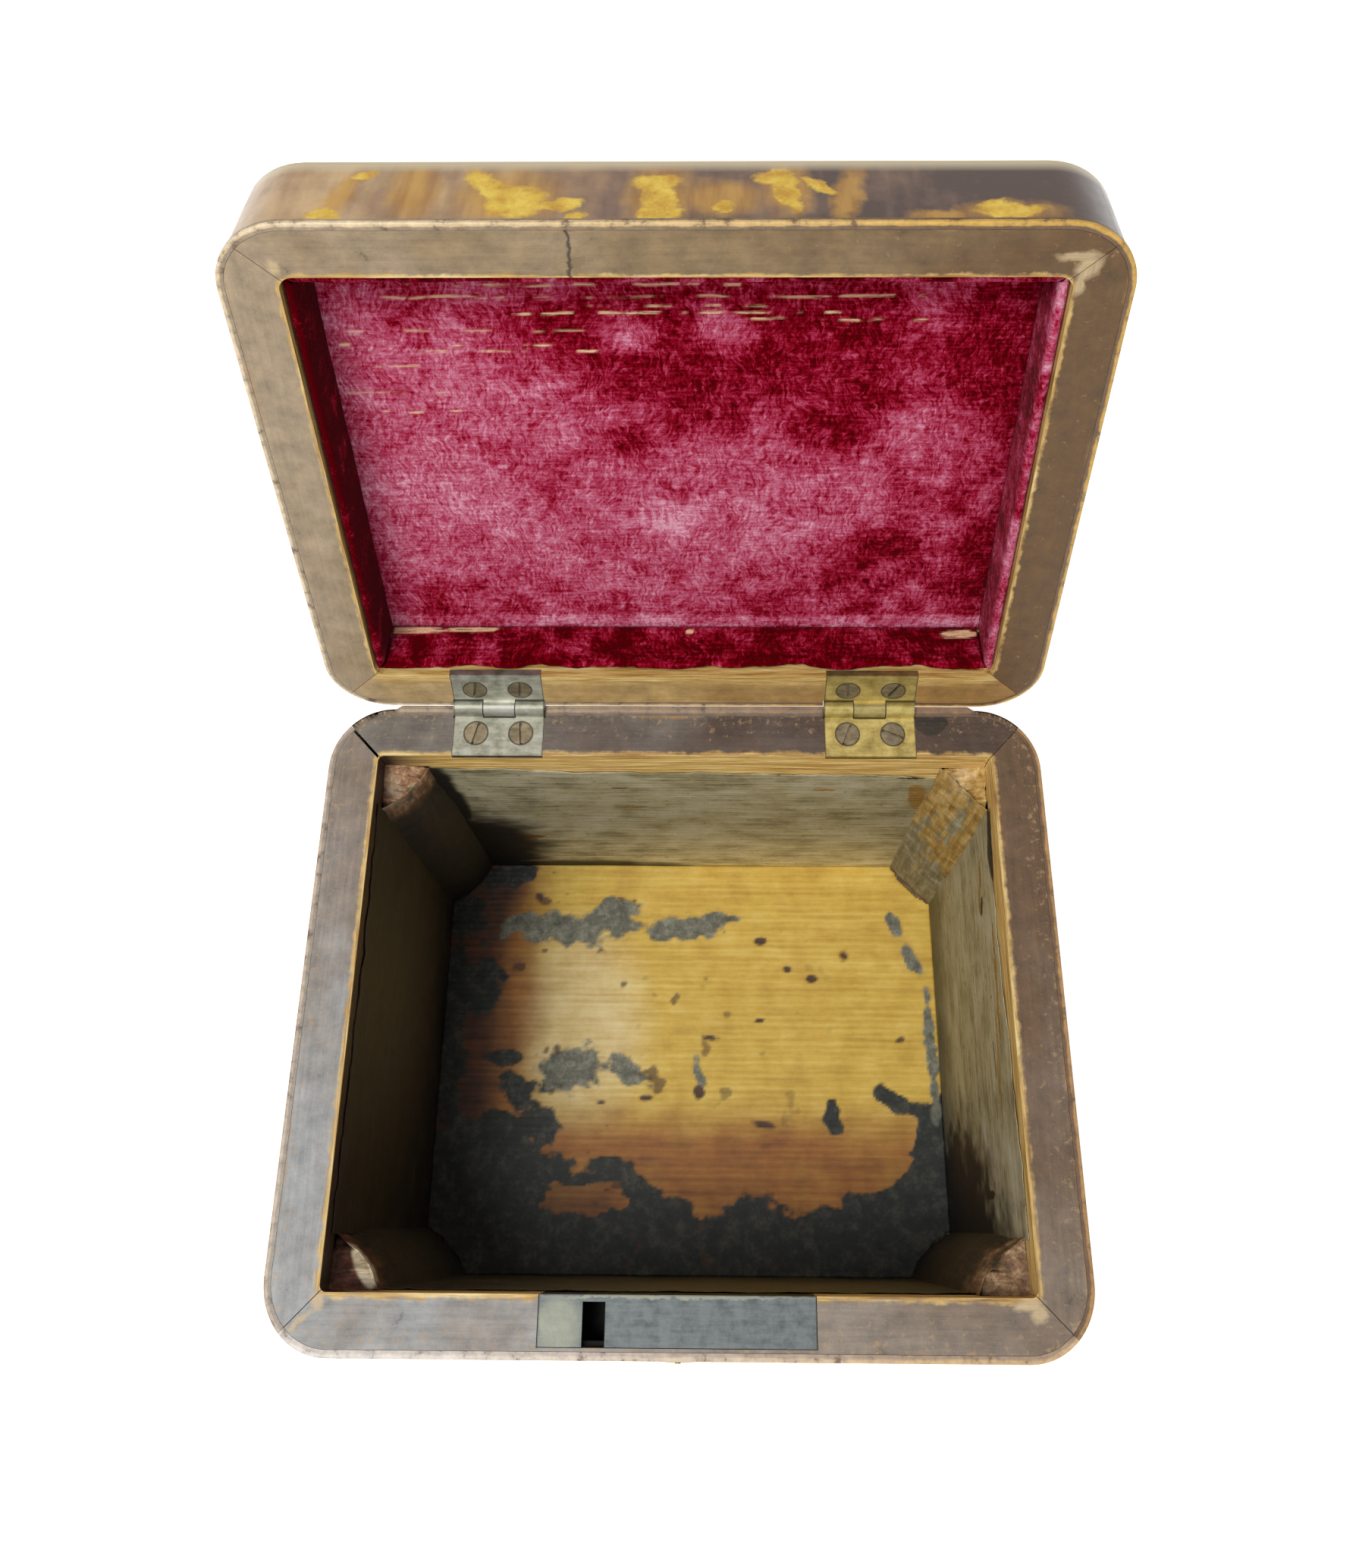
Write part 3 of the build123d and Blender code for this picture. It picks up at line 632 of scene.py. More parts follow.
@dataclass(frozen=True)
class FloorLining(Finish):
    """A pine floor, yellow where the foil came off and blackish green where it stayed."""

    def paint(self, shader: Shader) -> bpy.types.Material:
        """Golden wood with close lines, stained, with a painted pool of light and painted shade from the
        sheet's attributes, and foil over it.
        """
        add, where = shader.add, shader.where
        line = shader.drawn_out((45.0, 900.0, 900.0), 1.0, 4.0, 0.6)
        saw = add("TexWave", where, 250.0, 2.5, 3.0, 1.5, bands_direction="Y")
        cloud = add("TexNoise", where, 170.0, 6.0, 0.65)
        blot = add("TexNoise", where, 420.0, 6.0, 0.75)
        tone = add("Math MULTIPLY", cloud, 0.45)
        for field, weight in ((line, 0.4), (saw, 0.05)):
            tone = add("Math MULTIPLY_ADD", field, weight, tone)
        wood, painted_light_pool, stain, painted_floor_shade, foil, grey = (
            add("ValToRGB", field, stops=tuple(zip(places, colours)))
            for field, places, colours in (
                (tone, (0.30, 0.47, 0.66), ("#BE9430", "#D8B34A", "#EBD074")),
                (tone, (0.30, 0.47, 0.66), ("#CDAC68", "#E4CE98", "#F0E1BA")),
                (tone, (0.30, 0.47, 0.66), ("#743A10", "#9C591B", "#BC7C2E")),
                (tone, (0.34, 0.47, 0.62), ("#1C0D08", "#401D10", "#6A3318")),
                (blot, (0.34, 0.5, 0.68), ("#0C0F0C", "#20231D", "#4A473A")),
                (blot, (0.34, 0.5, 0.66), ("#4A4A3D", "#6B6A5A", "#8F8D7B")),
            )
        )
        # Over the wood: a painted pool of light, stain that is partly painted shade, painted shade, foil and
        # pits.
        colour = shader.covered(
            wood, ("painted_light_pool", painted_light_pool), ("stain", stain), ("painted_floor_shade", painted_floor_shade), ("foil", foil), ("grey", grey),
            ("pit", "#4A2C12"),
        )
        return shader.dressed(colour, 0.6, tone, 0.00025)


@dataclass(frozen=True)
class TornBlock(Finish):
    """A softwood glue block whose foil has torn away: stringy fibres, orange to tan, with dark remains.

    Attributes:
        wood: its colours from the hollows to the fibres.
        remains: the colours of the foil left on it, likewise.
    """

    wood: tuple[str, str, str] = ("#4A3423", "#86684A", "#BBA17C")
    remains: tuple[str, str, str] = ("#1E1B15", "#474234", "#7D7863")

    def paint(self, shader: Shader) -> bpy.types.Material:
        """Fibres by upright noise, tinted by the block's attributes and darkened by the painted shade among
        them.
        """
        fibre = shader.drawn_out(Grain.UPRIGHT.value, 1.0, 5.0, 0.7)
        cloud = shader.add("TexNoise", shader.where, 300.0, 5.0, 0.65)
        tone = shader.add("Math ADD", fibre, cloud)
        half = shader.add("Math MULTIPLY", tone, 0.5)
        wood, foil, rust = (
            shader.add("ValToRGB", half, stops=tuple(zip((0.36, 0.5, last), colours)))
            for last, colours in ((0.62, self.wood), (0.62, self.remains),
                                  (0.64, ("#200C08", "#4E2416", "#83502F")))
        )
        # The dark attribute is painted shade.
        colour = shader.covered(
            wood, ("rust", rust), ("foil", foil), ("cream", "#DCCFB4"), ("dark", "#120E0B")
        )
        return shader.dressed(colour, 0.75, half, 0.0003)


@dataclass(frozen=True)
class Velvet(Finish):
    """Crimson silk velvet with a crushed pile: dark where it stands, pink where it lies, threads where worn.

    Attributes:
        lift: how much paler this piece is, from -1 to 1; on the strips it is painted shade.
        lay: the turn of its brushed strokes.
        pile: its colours, from the pile that stands to the pile that lies.
    """

    lift: float = 0.0
    lay: tuple[float, float, float] = (0.0, 0.0, 0.6)
    pile: tuple[tuple[float, str], ...] = (
        (0.0, "#4C0006"), (0.13, "#6B000C"), (0.31, "#8B0D28"), (0.5, "#A43350"), (0.69, "#B65872"),
        (0.87, "#C67890"), (1.0, "#D297A8"),
    )

    def paint(self, shader: Shader) -> bpy.types.Material:
        """Pile tone from clouds, tufts and the cloth's attribute, with ground threads on its worn rows."""
        add, where = shader.add, shader.where
        cloud = add("TexNoise", where, 330.0, 6.0, 0.75)
        tuft = add("TexNoise", where, 1500.0, 3.0, 0.7)
        thread = shader.drawn_out((260.0, 2200.0, 2200.0), 1.0, 3.0, 0.6)
        laid = add("Mapping", shader.roughened(0.012, 0.0025), None, self.lay, (2000.0, 520.0, 520.0))
        stroke = add("TexNoise", laid, 1.0, 4.0, 0.7)
        tone, worn = (add("Attribute", attribute_name=name, give="Fac") for name in ("crush", "worn"))
        for field, weight in ((cloud, 0.9), (tuft, 0.5), (thread, 0.7), (stroke, 1.6)):
            tone = add("Math MULTIPLY_ADD", field, weight, tone)
        spread = add("MapRange", tone, 1.40 - self.lift, 2.42 - self.lift)
        bare = add("ValToRGB", thread, stops=((0.36, 0.2), (0.48, 1.0)))
        bare = add("Math MULTIPLY", worn, bare, use_clamp=True)
        colour = shader.covered(add("ValToRGB", spread, stops=self.pile), (bare, "#D9B58E"))
        return shader.dressed(colour, 0.9, tuft, 0.0004, Sheen_Weight=0.08, Sheen_Roughness=0.4,
                              Sheen_Tint="#E59AB0", Specular_IOR_Level=0.0)


@dataclass(frozen=True)
class AgedBrass(Finish):
    """Rolled brass or steel with hand wear: dull metal under an olive or grey patina, dirt round its edges.

    Attributes:
        bright, patina: its colours where rubbed and where dull.
        rough: its least roughness.
        screws: the screw heads let into it.
        plate: the middle and half sizes of its outline, whose edge holds dirt.
        knuckle: the middle and half sizes of the middle knuckle, with dirt in the gaps round it.
        knuckle_light_and_shade: how much paler the knuckles are, which is painted shade below 1 and painted
            light above 1.
        rubbed: paler places.
        sunk: whether the screws' places are holes, with dirt in them.
        slot: height under which the plate's cut edges are black.
    """

    bright: str = "#8D8A80"
    patina: str = "#55524A"
    rough: float = 0.34
    screws: Marks = ()
    plate: Mark | None = None
    knuckle: Mark | None = None
    knuckle_light_and_shade: float = 1.0
    rubbed: Marks = ()
    sunk: bool = False
    slot: float = 0.0

    def outline(self, shader: Shader, mark: Mark, radius: float) -> tuple[Socket, Socket]:
        """The place as seen from a mark's middle, and its distance outside the mark's rectangle."""
        middle = shader.add("VectorMath SUBTRACT", shader.where, (mark.x, mark.y, 0.0))
        return middle, shader.from_arris(middle, (mark.half_x, mark.half_y), radius)

    def knuckled(self, shader: Shader, colour: Socket) -> Socket:
        """Scales the knuckles' colour by barrel as painted shade on the base's leaves and painted light on
        the lid's, and lays dirt in the gaps between them and beside the lid's one.
        """
        add = shader.add
        middle, edge = self.outline(shader, self.knuckle, 0.0001)
        dirt = add("MapRange", add("Math ABSOLUTE", edge), 0.0002, 0.00006, 0.0, 0.8)
        if self.fold is not None:
            beside = add("SeparateXYZ", add("VectorMath ABSOLUTE", middle), give="X")
            end = self.knuckle.half_x
            beside = add("MapRange", beside, end, end + 0.0001, 0.0, 0.9)
            round_it, gap = (
                add("Math MULTIPLY", amount, shader.between("Y", *limits))
                for amount, *limits in ((dirt, 0.0469, 0.0470), (beside, 0.0463, 0.0467))
            )
            dirt = add("Math MAXIMUM", round_it, gap)
        # Painted shade and painted light: the knuckles' colour is scaled, darker on the base's leaves and
        # paler on the lid's.
        knuckle_light_and_shade = shader.between("Y", 0.0466, 0.0473, 1.0, self.knuckle_light_and_shade)
        return shader.covered(add("VectorMath SCALE", colour, knuckle_light_and_shade), (dirt, "#1E1A12"))

    def paint(self, shader: Shader) -> bpy.types.Material:
        """Patina by clouds over the metal, then dirt at the screw heads, the outline and the knuckles."""
        add, where, metal = shader.add, shader.where, {"Metallic": 0.85}
        roll = shader.drawn_out((160.0, 1500.0, 1500.0), 1.0, 4.0, 0.6)
        cloud = add("TexNoise", where, 420.0, 6.0, 0.65)
        tone = add("Math MULTIPLY_ADD", roll, 0.35, cloud)
        spread = add("MapRange", tone, 0.45, 0.9)
        colour = add("ValToRGB", spread, stops=((0.0, self.patina), (0.75, self.bright)))
        if self.rubbed:
            soft = shader.spots(shader.roughened(0.002, 0.0005), self.rubbed)
            colour = shader.covered(colour, (add("MapRange", soft, 1.15, 0.7, 0.0, 0.7), "#A3A493"))
        if self.knuckle is not None:
            colour = self.knuckled(shader, colour)
        if self.screws:
            off = add("Math SUBTRACT", shader.spots(where, self.screws), 1.0)
            if self.sunk:
                metal = {name: add("MapRange", off, 0.02, 0.10, 0.0, most)
                         for name, most in (("Metallic", 0.85), ("Specular_IOR_Level", 0.5))}
            else:
                off = add("Math ABSOLUTE", off)
            colour = shader.covered(colour, (add("MapRange", off, 0.10, 0.02, 0.0, 0.8), "#2E281C"))
        if self.plate is not None:
            _, edge = self.outline(shader, self.plate, 0.0002)
            colour = shader.covered(colour, (add("MapRange", edge, -0.0003, -0.00005, 0.0, 0.6), "#2E281C"))
        if self.slot:
            below = shader.between("Z", self.slot, self.slot - 0.0002)
            colour = shader.covered(colour, (below, "#14120F"))
        rough = add("MapRange", cloud, 0.0, 1.0, self.rough, self.rough + 0.3)
        return shader.dressed(colour, rough, tone, 0.00006, **metal)


# Pieces of the box


def dress(finish: Finish, *nodes: str) -> None:
    """Gives a finish to CAD nodes through their objects' material slots."""
    for node in nodes:
        for slot in frame["nodes"][node].material_slots:
            slot.link = "OBJECT"
            slot.material = finish.material()
    log.info("dressed %s with %s", ", ".join(nodes), finish.name)


def put(piece: bpy.types.Object, body: str, slot: str, finish: Finish, *nodes: str) -> None:
    """Gives a new piece its finish, its body and the nodes that it stands for.

    Args:
        piece: the piece, in its place.
        body: the body that it moves with.
        slot: the record's material slot; not used.
        finish: its finish.
        nodes: the CAD nodes that it replaces.
    """
    piece.data.materials.append(finish.material())
    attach(piece, body)
    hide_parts(*nodes)
    log.info("made %s", piece.name)


@dataclass
class Carcass:
    """The wooden box with its shell sheets and edging, all from the frame, with better finishes.

    Attributes:
        islands: the golden islands on the lid's front, in x and z.
        clouds: the amber clouds there.
        stained: the stained place on the base's rim.
        broken: the places on the base's rim that show fresh wood.
        chipped: the same on the lid's rim.
        crack: x of the split across the lid's front rim.
    """

    fold: LidFold
    islands: Marks = marks(
        (-45, 90.5, 1.9, 1.4, 10), (-41.5, 100.5, 1.6, 0.8, 20), (-24.8, 98, 1.6, 4.2, 38),
        (-20.5, 93.5, 3.6, 3.4), (-15, 92.8, 3.2, 1.1, 8), (-12.5, 90, 1.1, 1.2), (-2.2, 98.5, 2.8, 1.6),
        (6.2, 92.2, 1.6, 1, 20), (-1.8, 94.5, 1.9, 4, 6), (-1.8, 90.8, 2.6, 1.4), (13.2, 99.5, 2.4, 1.8),
        (14.8, 95, 1.2, 3.6, 10), (19, 97.5, 1.1, 2.6, 45), (43.2, 91.2, 3.8, 1.5, 4),
        (41, 92.8, 1.8, 1.2, 30),
    )
    clouds: Marks = marks(
        (-43.5, 95.5, 1.6, 6.5, -14), (-34, 96, 3, 7), (-21.5, 94.5, 6.2, 6, 20), (-1.8, 95, 4, 8),
        (6.2, 94.5, 5.2, 4), (14.8, 96.5, 3, 6), (22.5, 94.5, 1.8, 7, -12), (34.5, 90, 4, 1.4),
        (43, 91, 6, 2.4),
    )
    stained: Marks = marks((42.3, 45.9, 2.7, 2.1))
    broken: Marks = marks(
        (50.6, -41, 2.2, 0.9, 8), (52, -42, 1.3, 1.2, 40), (-52, -41.3, 1, 1.2, 40),
        (-54.5, -43.8, 2.4, 0.4, 42),
    )
    chipped: Marks = marks(
        (52.2, -43.2, 2.8, 0.8), (53.5, -41.5, 1.6, 2.2, 20), (52.8, -39.2, 0.7, 2.2), (-52, -41.8, 0.9, 1.1)
    )
    crack: float = -0.0135

    def dress(self) -> None:
        """Finishes the walls, boards, shell sheets and edging."""
        for side in SIDES:
            grain = Grain.ALONG_X if side in ("front", "back") else Grain.ALONG_Y
            # Painted sheen: the base's rim turns greyer towards the front and left, and the lid's towards the
            # left.
            base = StainedWood(f"stained fruitwood, base {side}", None, grain, pale=self.broken,
                               dark=self.stained)
            lid = StainedWood(f"stained fruitwood, lid {side}", self.fold, grain, 0.002, "#857050", "#5D4220",
                              "#97846B", (-9.0, -1.5, 0.0), 0.5, 0.0007, self.chipped)
            if side == "front":
                lid = replace(lid, crack=self.crack)
            if side == "back":
                base = replace(base, worn="#706B62", deep="#49372A")
                lid = replace(lid, worn="#A98C58", deep="#8F6B38", margin=0.0030)
            dress(base, f"base_wall_{side}")
            dress(lid, f"lid_wall_{side}")
        dress(Tortoiseshell("tortoiseshell, base"), *(f"base_shell_{side}" for side in SIDES))
        lid = Tortoiseshell("tortoiseshell, lid", self.fold, drift=-6.0)
        top = replace(lid, name="tortoiseshell, lid top", drift=-3.0, cut_edge=True)
        front = Tortoiseshell("tortoiseshell, lid front", self.fold, self.islands, self.clouds, drift=-9.0)
        dress(lid, "lid_shell_back", "lid_shell_left", "lid_shell_right")
        dress(top, "lid_shell_top")
        dress(front, "lid_shell_front")
        sides = Edging("boxwood edging, base sides", None, "#B3A08A", "#A8804F", ("#8B8073", "#6A5139"), RIM)
        front = Edging("boxwood edging, base front", None, "#CBC2B8", "#BD9F74", ("#B5ABA1", "#98806A"), RIM)
        dress(sides, "base_edging_left", "base_edging_right")
        dress(front, "base_edging_front")
        dress(Edging("boxwood edging, lid", self.fold), *(f"lid_edging_{side}" for side in SIDES))
        dress(BareBoard("browned softwood, bottom"), "bottom_board")
        dress(BareBoard("browned softwood, lid", self.fold), "lid_board")


@dataclass
class BackEdging:
    """The pale strip along the base's back arris, whose bruised edge closes the joint under the lid.

    Attributes:
        straight: half the outline's width and depth without its corners.
        mitre: the direction in which the outline faces at the strip's ends.
        width, height: the strip's.
        round: radius of its whole arris.
        bead: radius of the bruised edge, which stays under the lid's as that turns.
        cleared: the ends of a hinge's notch, in x from the middle.
    """

    fold: LidFold
    straight: tuple[float, float] = (0.050, 0.038)
    mitre: float = 0.7904
    width: float = 0.00115
    height: float = 0.0012
    round: float = 0.0003
    bead: float = 0.00026
    cleared: tuple[float, float] = (0.0240, 0.0396)

    def build(self) -> None:
        """Carries a closed section along three runs, between and outside the hinges.

        The section goes from the strip's lower inner edge round its face. Its arris turns by smoothstep from
        a quarter circle at the corners into a three-quarter circle about the pins' line on the straight.
        """
        limit, (near, far), back = self.straight[0], self.cleared, math.pi / 2
        corner, level = np.linspace(self.mitre, back, 26), np.full(39, back)
        runs = {
            "left": (np.r_[np.full(26, -limit), np.linspace(-limit, -far, 40)[1:]],
                     np.r_[math.pi - corner, level]),
            "middle": (np.linspace(-near, near, 160), np.full(160, back)),
            "right": (np.r_[np.linspace(far, limit, 40)[:-1], np.full(26, limit)],
                      np.r_[level, corner[::-1]]),
        }
        finish = Edging("boxwood edging, base back", None, "#8E7A60", "#7E5F42", ("#75644F", "#5F4832"), RIM)
        for label, (centre, angle) in runs.items():
            piece = surface(f"edging_strip_back_{label}", self.section(centre, angle), wraps=True)
            put(piece, "base", "edging", finish, "base_edging_back")

    def section(self, centre: np.ndarray, angle: np.ndarray) -> np.ndarray:
        """The points of a run: rows along the strip, columns round its section.

        Args:
            centre: x of the outline's centre of curvature for each row.
            angle: where the outline faces there, from the x axis.

        Returns:
            Points of shape (rows, columns, 3).
        """
        turn = np.linspace(0, 1, 14)
        around = (1.5 * turn - 0.5) * math.pi
        out_bead = self.fold.pin[1] - self.straight[1] - PROUD_CORNER + self.bead * np.cos(around)
        up_bead = self.fold.pin[2] + self.bead * np.sin(around)
        out_whole = self.round * (np.cos(turn * math.pi / 2) - 1)
        up_whole = RIM - self.round * (1 - np.sin(turn * math.pi / 2))
        bruised = smooth((self.straight[0] - np.abs(centre)) / 0.0015)[:, None]
        chips = 0.00003 * Unevenness(91, 0.002, 4).at(centre, angle)[:, None]
        out = out_whole * (1 - bruised) + out_bead * bruised - chips * bruised
        up = up_whole * (1 - bruised) + up_bead * bruised
        face = np.zeros((len(centre), 1))
        inner, foot, top = face - self.width, face + RIM - self.height, face + RIM
        out = np.hstack([inner, face, out, face - self.round / 2, inner])
        up = np.hstack([foot, foot, up, top, top])
        reach = PROUD_CORNER + out
        return np.stack([centre[:, None] + reach * np.cos(angle)[:, None],
                         self.straight[1] + reach * np.sin(angle)[:, None], up], -1)


@dataclass
class Fittings:
    """The hinges, their screws, the lock and the keyhole plate, all from the frame, with better finishes.

    Attributes:
        hinge_x: how far each hinge is from the middle.
        screw_x: half the distance between a leaf's screws.
        head: radius of a screw head.
        knuckle: half the middle knuckle's length.
    """

    fold: LidFold
    hinge_x: float = 0.0318
    screw_x: float = 0.00385
    head: float = 0.00205
    knuckle: float = 0.0027

    def hinge(self, side: str, middle: float, tones: tuple[tuple[str, str], tuple[str, str]]) -> None:
        """Finishes one hinge, whose screws' distance from the back is taken from the frame.

        Args:
            side: which of the two it is.
            middle: x of its middle.
            tones: the bright colour and the patina of its base leaf, and of its lid leaf.
        """
        low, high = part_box(f"hinge_base_screws_{side}")
        heads = tuple(
            Mark(middle + way * self.screw_x, (low.y + high.y) / 2, self.head, self.head) for way in (-1, 1)
        )
        # The base's knuckles are darkened to 0.66 as painted shade, and the lid's made 1.25 times paler as
        # painted light.
        parts = zip(("base", "lid"), (None, self.fold), (0.66, 1.25), tones)
        for part, fold, knuckle_light_and_shade, (bright, patina) in parts:
            leaf = AgedBrass(
                f"rolled brass, {part} {side}", fold, bright, patina, screws=heads,
                plate=Mark(middle, 0.0490, 0.0077, 0.0090),
                knuckle=Mark(middle, 0.0486, self.knuckle, 0.0018), knuckle_light_and_shade=knuckle_light_and_shade, sunk=True,
            )
            dress(leaf, f"hinge_{part}_leaf_{side}")
            screw = AgedBrass(f"screw brass, {part} {side}", fold, "#9C8F74", "#5E543F", 0.4, heads)
            dress(screw, f"hinge_{part}_screws_{side}")
        dress(AgedBrass(f"hinge pin steel, {side}"), f"hinge_pin_{side}")

    def dress(self) -> None:
        """Finishes the metal: the left hinge greyish, the right one yellow, the lock plate blue-grey."""
        # Painted light: the left hinge's lid leaf gets paler colours than its base leaf, as it stands upright
        # where less light reaches it.
        self.hinge("left", -self.hinge_x, (("#C9C8B7", "#8A8D76"), ("#E4E4D6", "#9EA18A")))
        self.hinge("right", self.hinge_x, (("#F0DA88", "#AC9850"), ("#EBD68C", "#AC9754")))
        plate = AgedBrass(
            "oxidised lock plate", None, "#7F8687", "#4A5152", 0.45, plate=Mark(0.0, -0.0441, 0.0200, 0.0041),
            rubbed=marks((-17, -44, 3.4, 4.2), (0, -40.2, 21, 0.3), (0, -48, 24, 0.6)), slot=0.0877,
        )
        steel = AgedBrass("blackened lock steel", None, "#2C2C2A", "#161615", rough=0.6)
        bolt = AgedBrass("blackened bolt brass", None, "#3A3222", "#211B11", rough=0.6)
        keyhole = AgedBrass("escutcheon brass", None, "#A48C58", "#6A5838", rough=0.36)
        dress(plate, "lock_plate")
        dress(steel, "lock_pins", "lock_case", "lock_spring", "key_post")
        dress(bolt, "lock_bolt")
        dress(keyhole, "keyhole_escutcheon", "escutcheon_pins")


@dataclass
class FloorSheet:
    """The floor of the base, with what is left of its foil.

    Attributes:
        half_x, half_y: half its width and depth.
        top: height of its upper face.
        step: distance between grid points.
        block_radius: radius of the corner blocks that stand on it, whose planed outline it is cut to.
        remains: dark foil left on it.
        edge: places along x and y of the outline of the foil that is left in front.
        greys: pale foil left on it.
        pits: dents and burns.
    """

    half_x: float = 0.0519
    half_y: float = 0.0399
    top: float = 0.00635
    step: float = 0.00042
    block_radius: float = 0.0081
    remains: Marks = marks(
        (-46, 17.2, 7, 3), (-48, 30, 6, 6), (-44, 12, 3, 3.5), (-39, 0, 5, 1.4), (-34.5, -6.2, 4.8, 3.4),
        (-38.5, -12.2, 9, 2.6), (-29, -13, 3, 3), (29.6, -11.2, 2, 3.4, 10), (42, -7.5, 6, 1.6, -25),
        (-50, 0, 3, 40), (-46.5, 37.5, 12, 3),
    )
    edge: tuple[tuple[float, ...], tuple[float, ...]] = (
        (-0.052, -0.044, -0.036, -0.027, -0.012, -0.006, 0.003, 0.012, 0.025, 0.036, 0.045, 0.0475, 0.052),
        (-0.006, -0.0125, -0.0150, -0.0190, -0.0190, -0.0235, -0.0285, -0.0255, -0.0290, -0.0250, -0.0190,
         -0.0105, -0.0060),
    )
    greys: Marks = marks(
        (-25.5, 26.8, 12.5, 3.2), (-16.5, 28.5, 5, 4), (-1, 26.5, 7.5, 2.2, 6), (7, 28.5, 6, 1.1),
        (-23.5, -2, 7.2, 4.4), (-12, -3, 5, 2.2, -15), (44, 27.5, 1, 2.2, 20), (47.5, 20, 1.2, 3, 30),
        (50, 8, 1, 6), (50.5, -4, 1, 6), (2, -3, 1.2, 3, 20),
    )
    pits: Marks = marks(
        (14.8, 23.8, 1.3, 0.7, -10), (20.8, 18.2, 1.1, 0.7), (25.8, 15.9, 1, 0.7), (32.9, 20.8, 1.2, 0.9),
        (2.1, -6.4, 0.9, 1), (15.5, -12.5, 3, 0.9, -15), (14.6, 7.6, 1.2, 0.5, 12),
        (-33, 32.5, 1.6, 1.2, -30), (4, 4, 1.2, 0.5), (-18, -8.5, 1.3, 0.6), (-9, -7.5, 1.4, 0.6),
        (44, 4, 1.2, 0.6, 20),
    )

    def build(self) -> None:
        """Lays a level grid: foil stands a little proud, its outlines roughened by random heights."""
        x, y = np.meshgrid(*(
            np.linspace(-half, half, int(2 * half / self.step) + 1) for half in (self.half_x, self.half_y)
        ))
        ragged = Unevenness(3, 0.006, 5).at(x, y)
        fine = Unevenness(4, 0.0020, 4).at(x * 0.7, y)
        front = (np.interp(x, *self.edge) - y) / 0.004
        bare = union(marks((-21.6, -26.2, 8.8, 3.2)), x, y) * 3 - 0.2 + 1.4 * ragged + 1.2 * fine
        kept = np.maximum(front, union(self.remains, x, y)) + 0.8 * ragged + 0.6 * fine
        kept = np.minimum(kept, -bare)
        foil = smooth(kept / 0.25 + 0.5)
        grey = patches(self.greys, x, y, 0.7 * ragged + 0.7 * fine, 0.35)
        pit = patches(self.pits, x, y, 0.8 * fine, 0.6)
        spill = 0.8 * smooth((Unevenness(6, 0.0035, 3).at(x * 0.8, y) - 0.52) / 0.12)
        pit = np.maximum(pit, spill * smooth((0.9 - x / 0.052) / 1.2))
        # Painted light: a pale pool on the floor left of the middle, where light falls into the box.
        painted_light_pool = 0.75 * smooth(union(marks((-23.5, 6, 19, 28)), x, y) * 1.6)
        # Orange-brown towards the front and the left: partly the wood's stain and partly painted shade.
        stain = smooth((-0.005 - y) / 0.013) * smooth((0.052 - x) / 0.03 + 0.55)
        stain = np.clip(smooth((-0.028 - x) / 0.010) + stain + 0.25 * ragged, 0, 1) * 0.9
        # Painted shade: very dark red-brown along the left side and towards the front left, where the walls
        # shade the floor.
        painted_floor_shade = smooth((-0.0365 - x + 0.0015 * ragged + 0.004 * smooth((y - 0.02) / 0.02)) / 0.007)
        painted_floor_shade = np.maximum(painted_floor_shade, 0.6 * smooth((-0.020 - y) / 0.008) * smooth((-0.010 - x) / 0.01)) * 0.92
        z = self.top + 0.00004 * np.maximum(foil, grey) + 0.00003 * fine - 0.00008 * pit
        side_x, side_y = self.half_x - np.abs(x), self.half_y - np.abs(y)
        corner = np.hypot(side_x, side_y)
        hidden = corner < self.block_radius * (0.42 + 0.55 * corner / np.maximum(side_x + side_y, 1e-9))
        whole = ~(hidden[:-1, :-1] | hidden[1:, :-1] | hidden[:-1, 1:] | hidden[1:, 1:])
        fields = {"foil": foil, "grey": grey, "pit": pit, "painted_light_pool": painted_light_pool, "stain": stain, "painted_floor_shade": painted_floor_shade}
        sheet = surface("floor_lining", np.stack([x, y, z], -1), fields, whole)
        thicken(sheet, 0.0003)
        put(sheet, "base", "floor_foil", FloorLining("pine floor with foil remains"), "foil_floor")


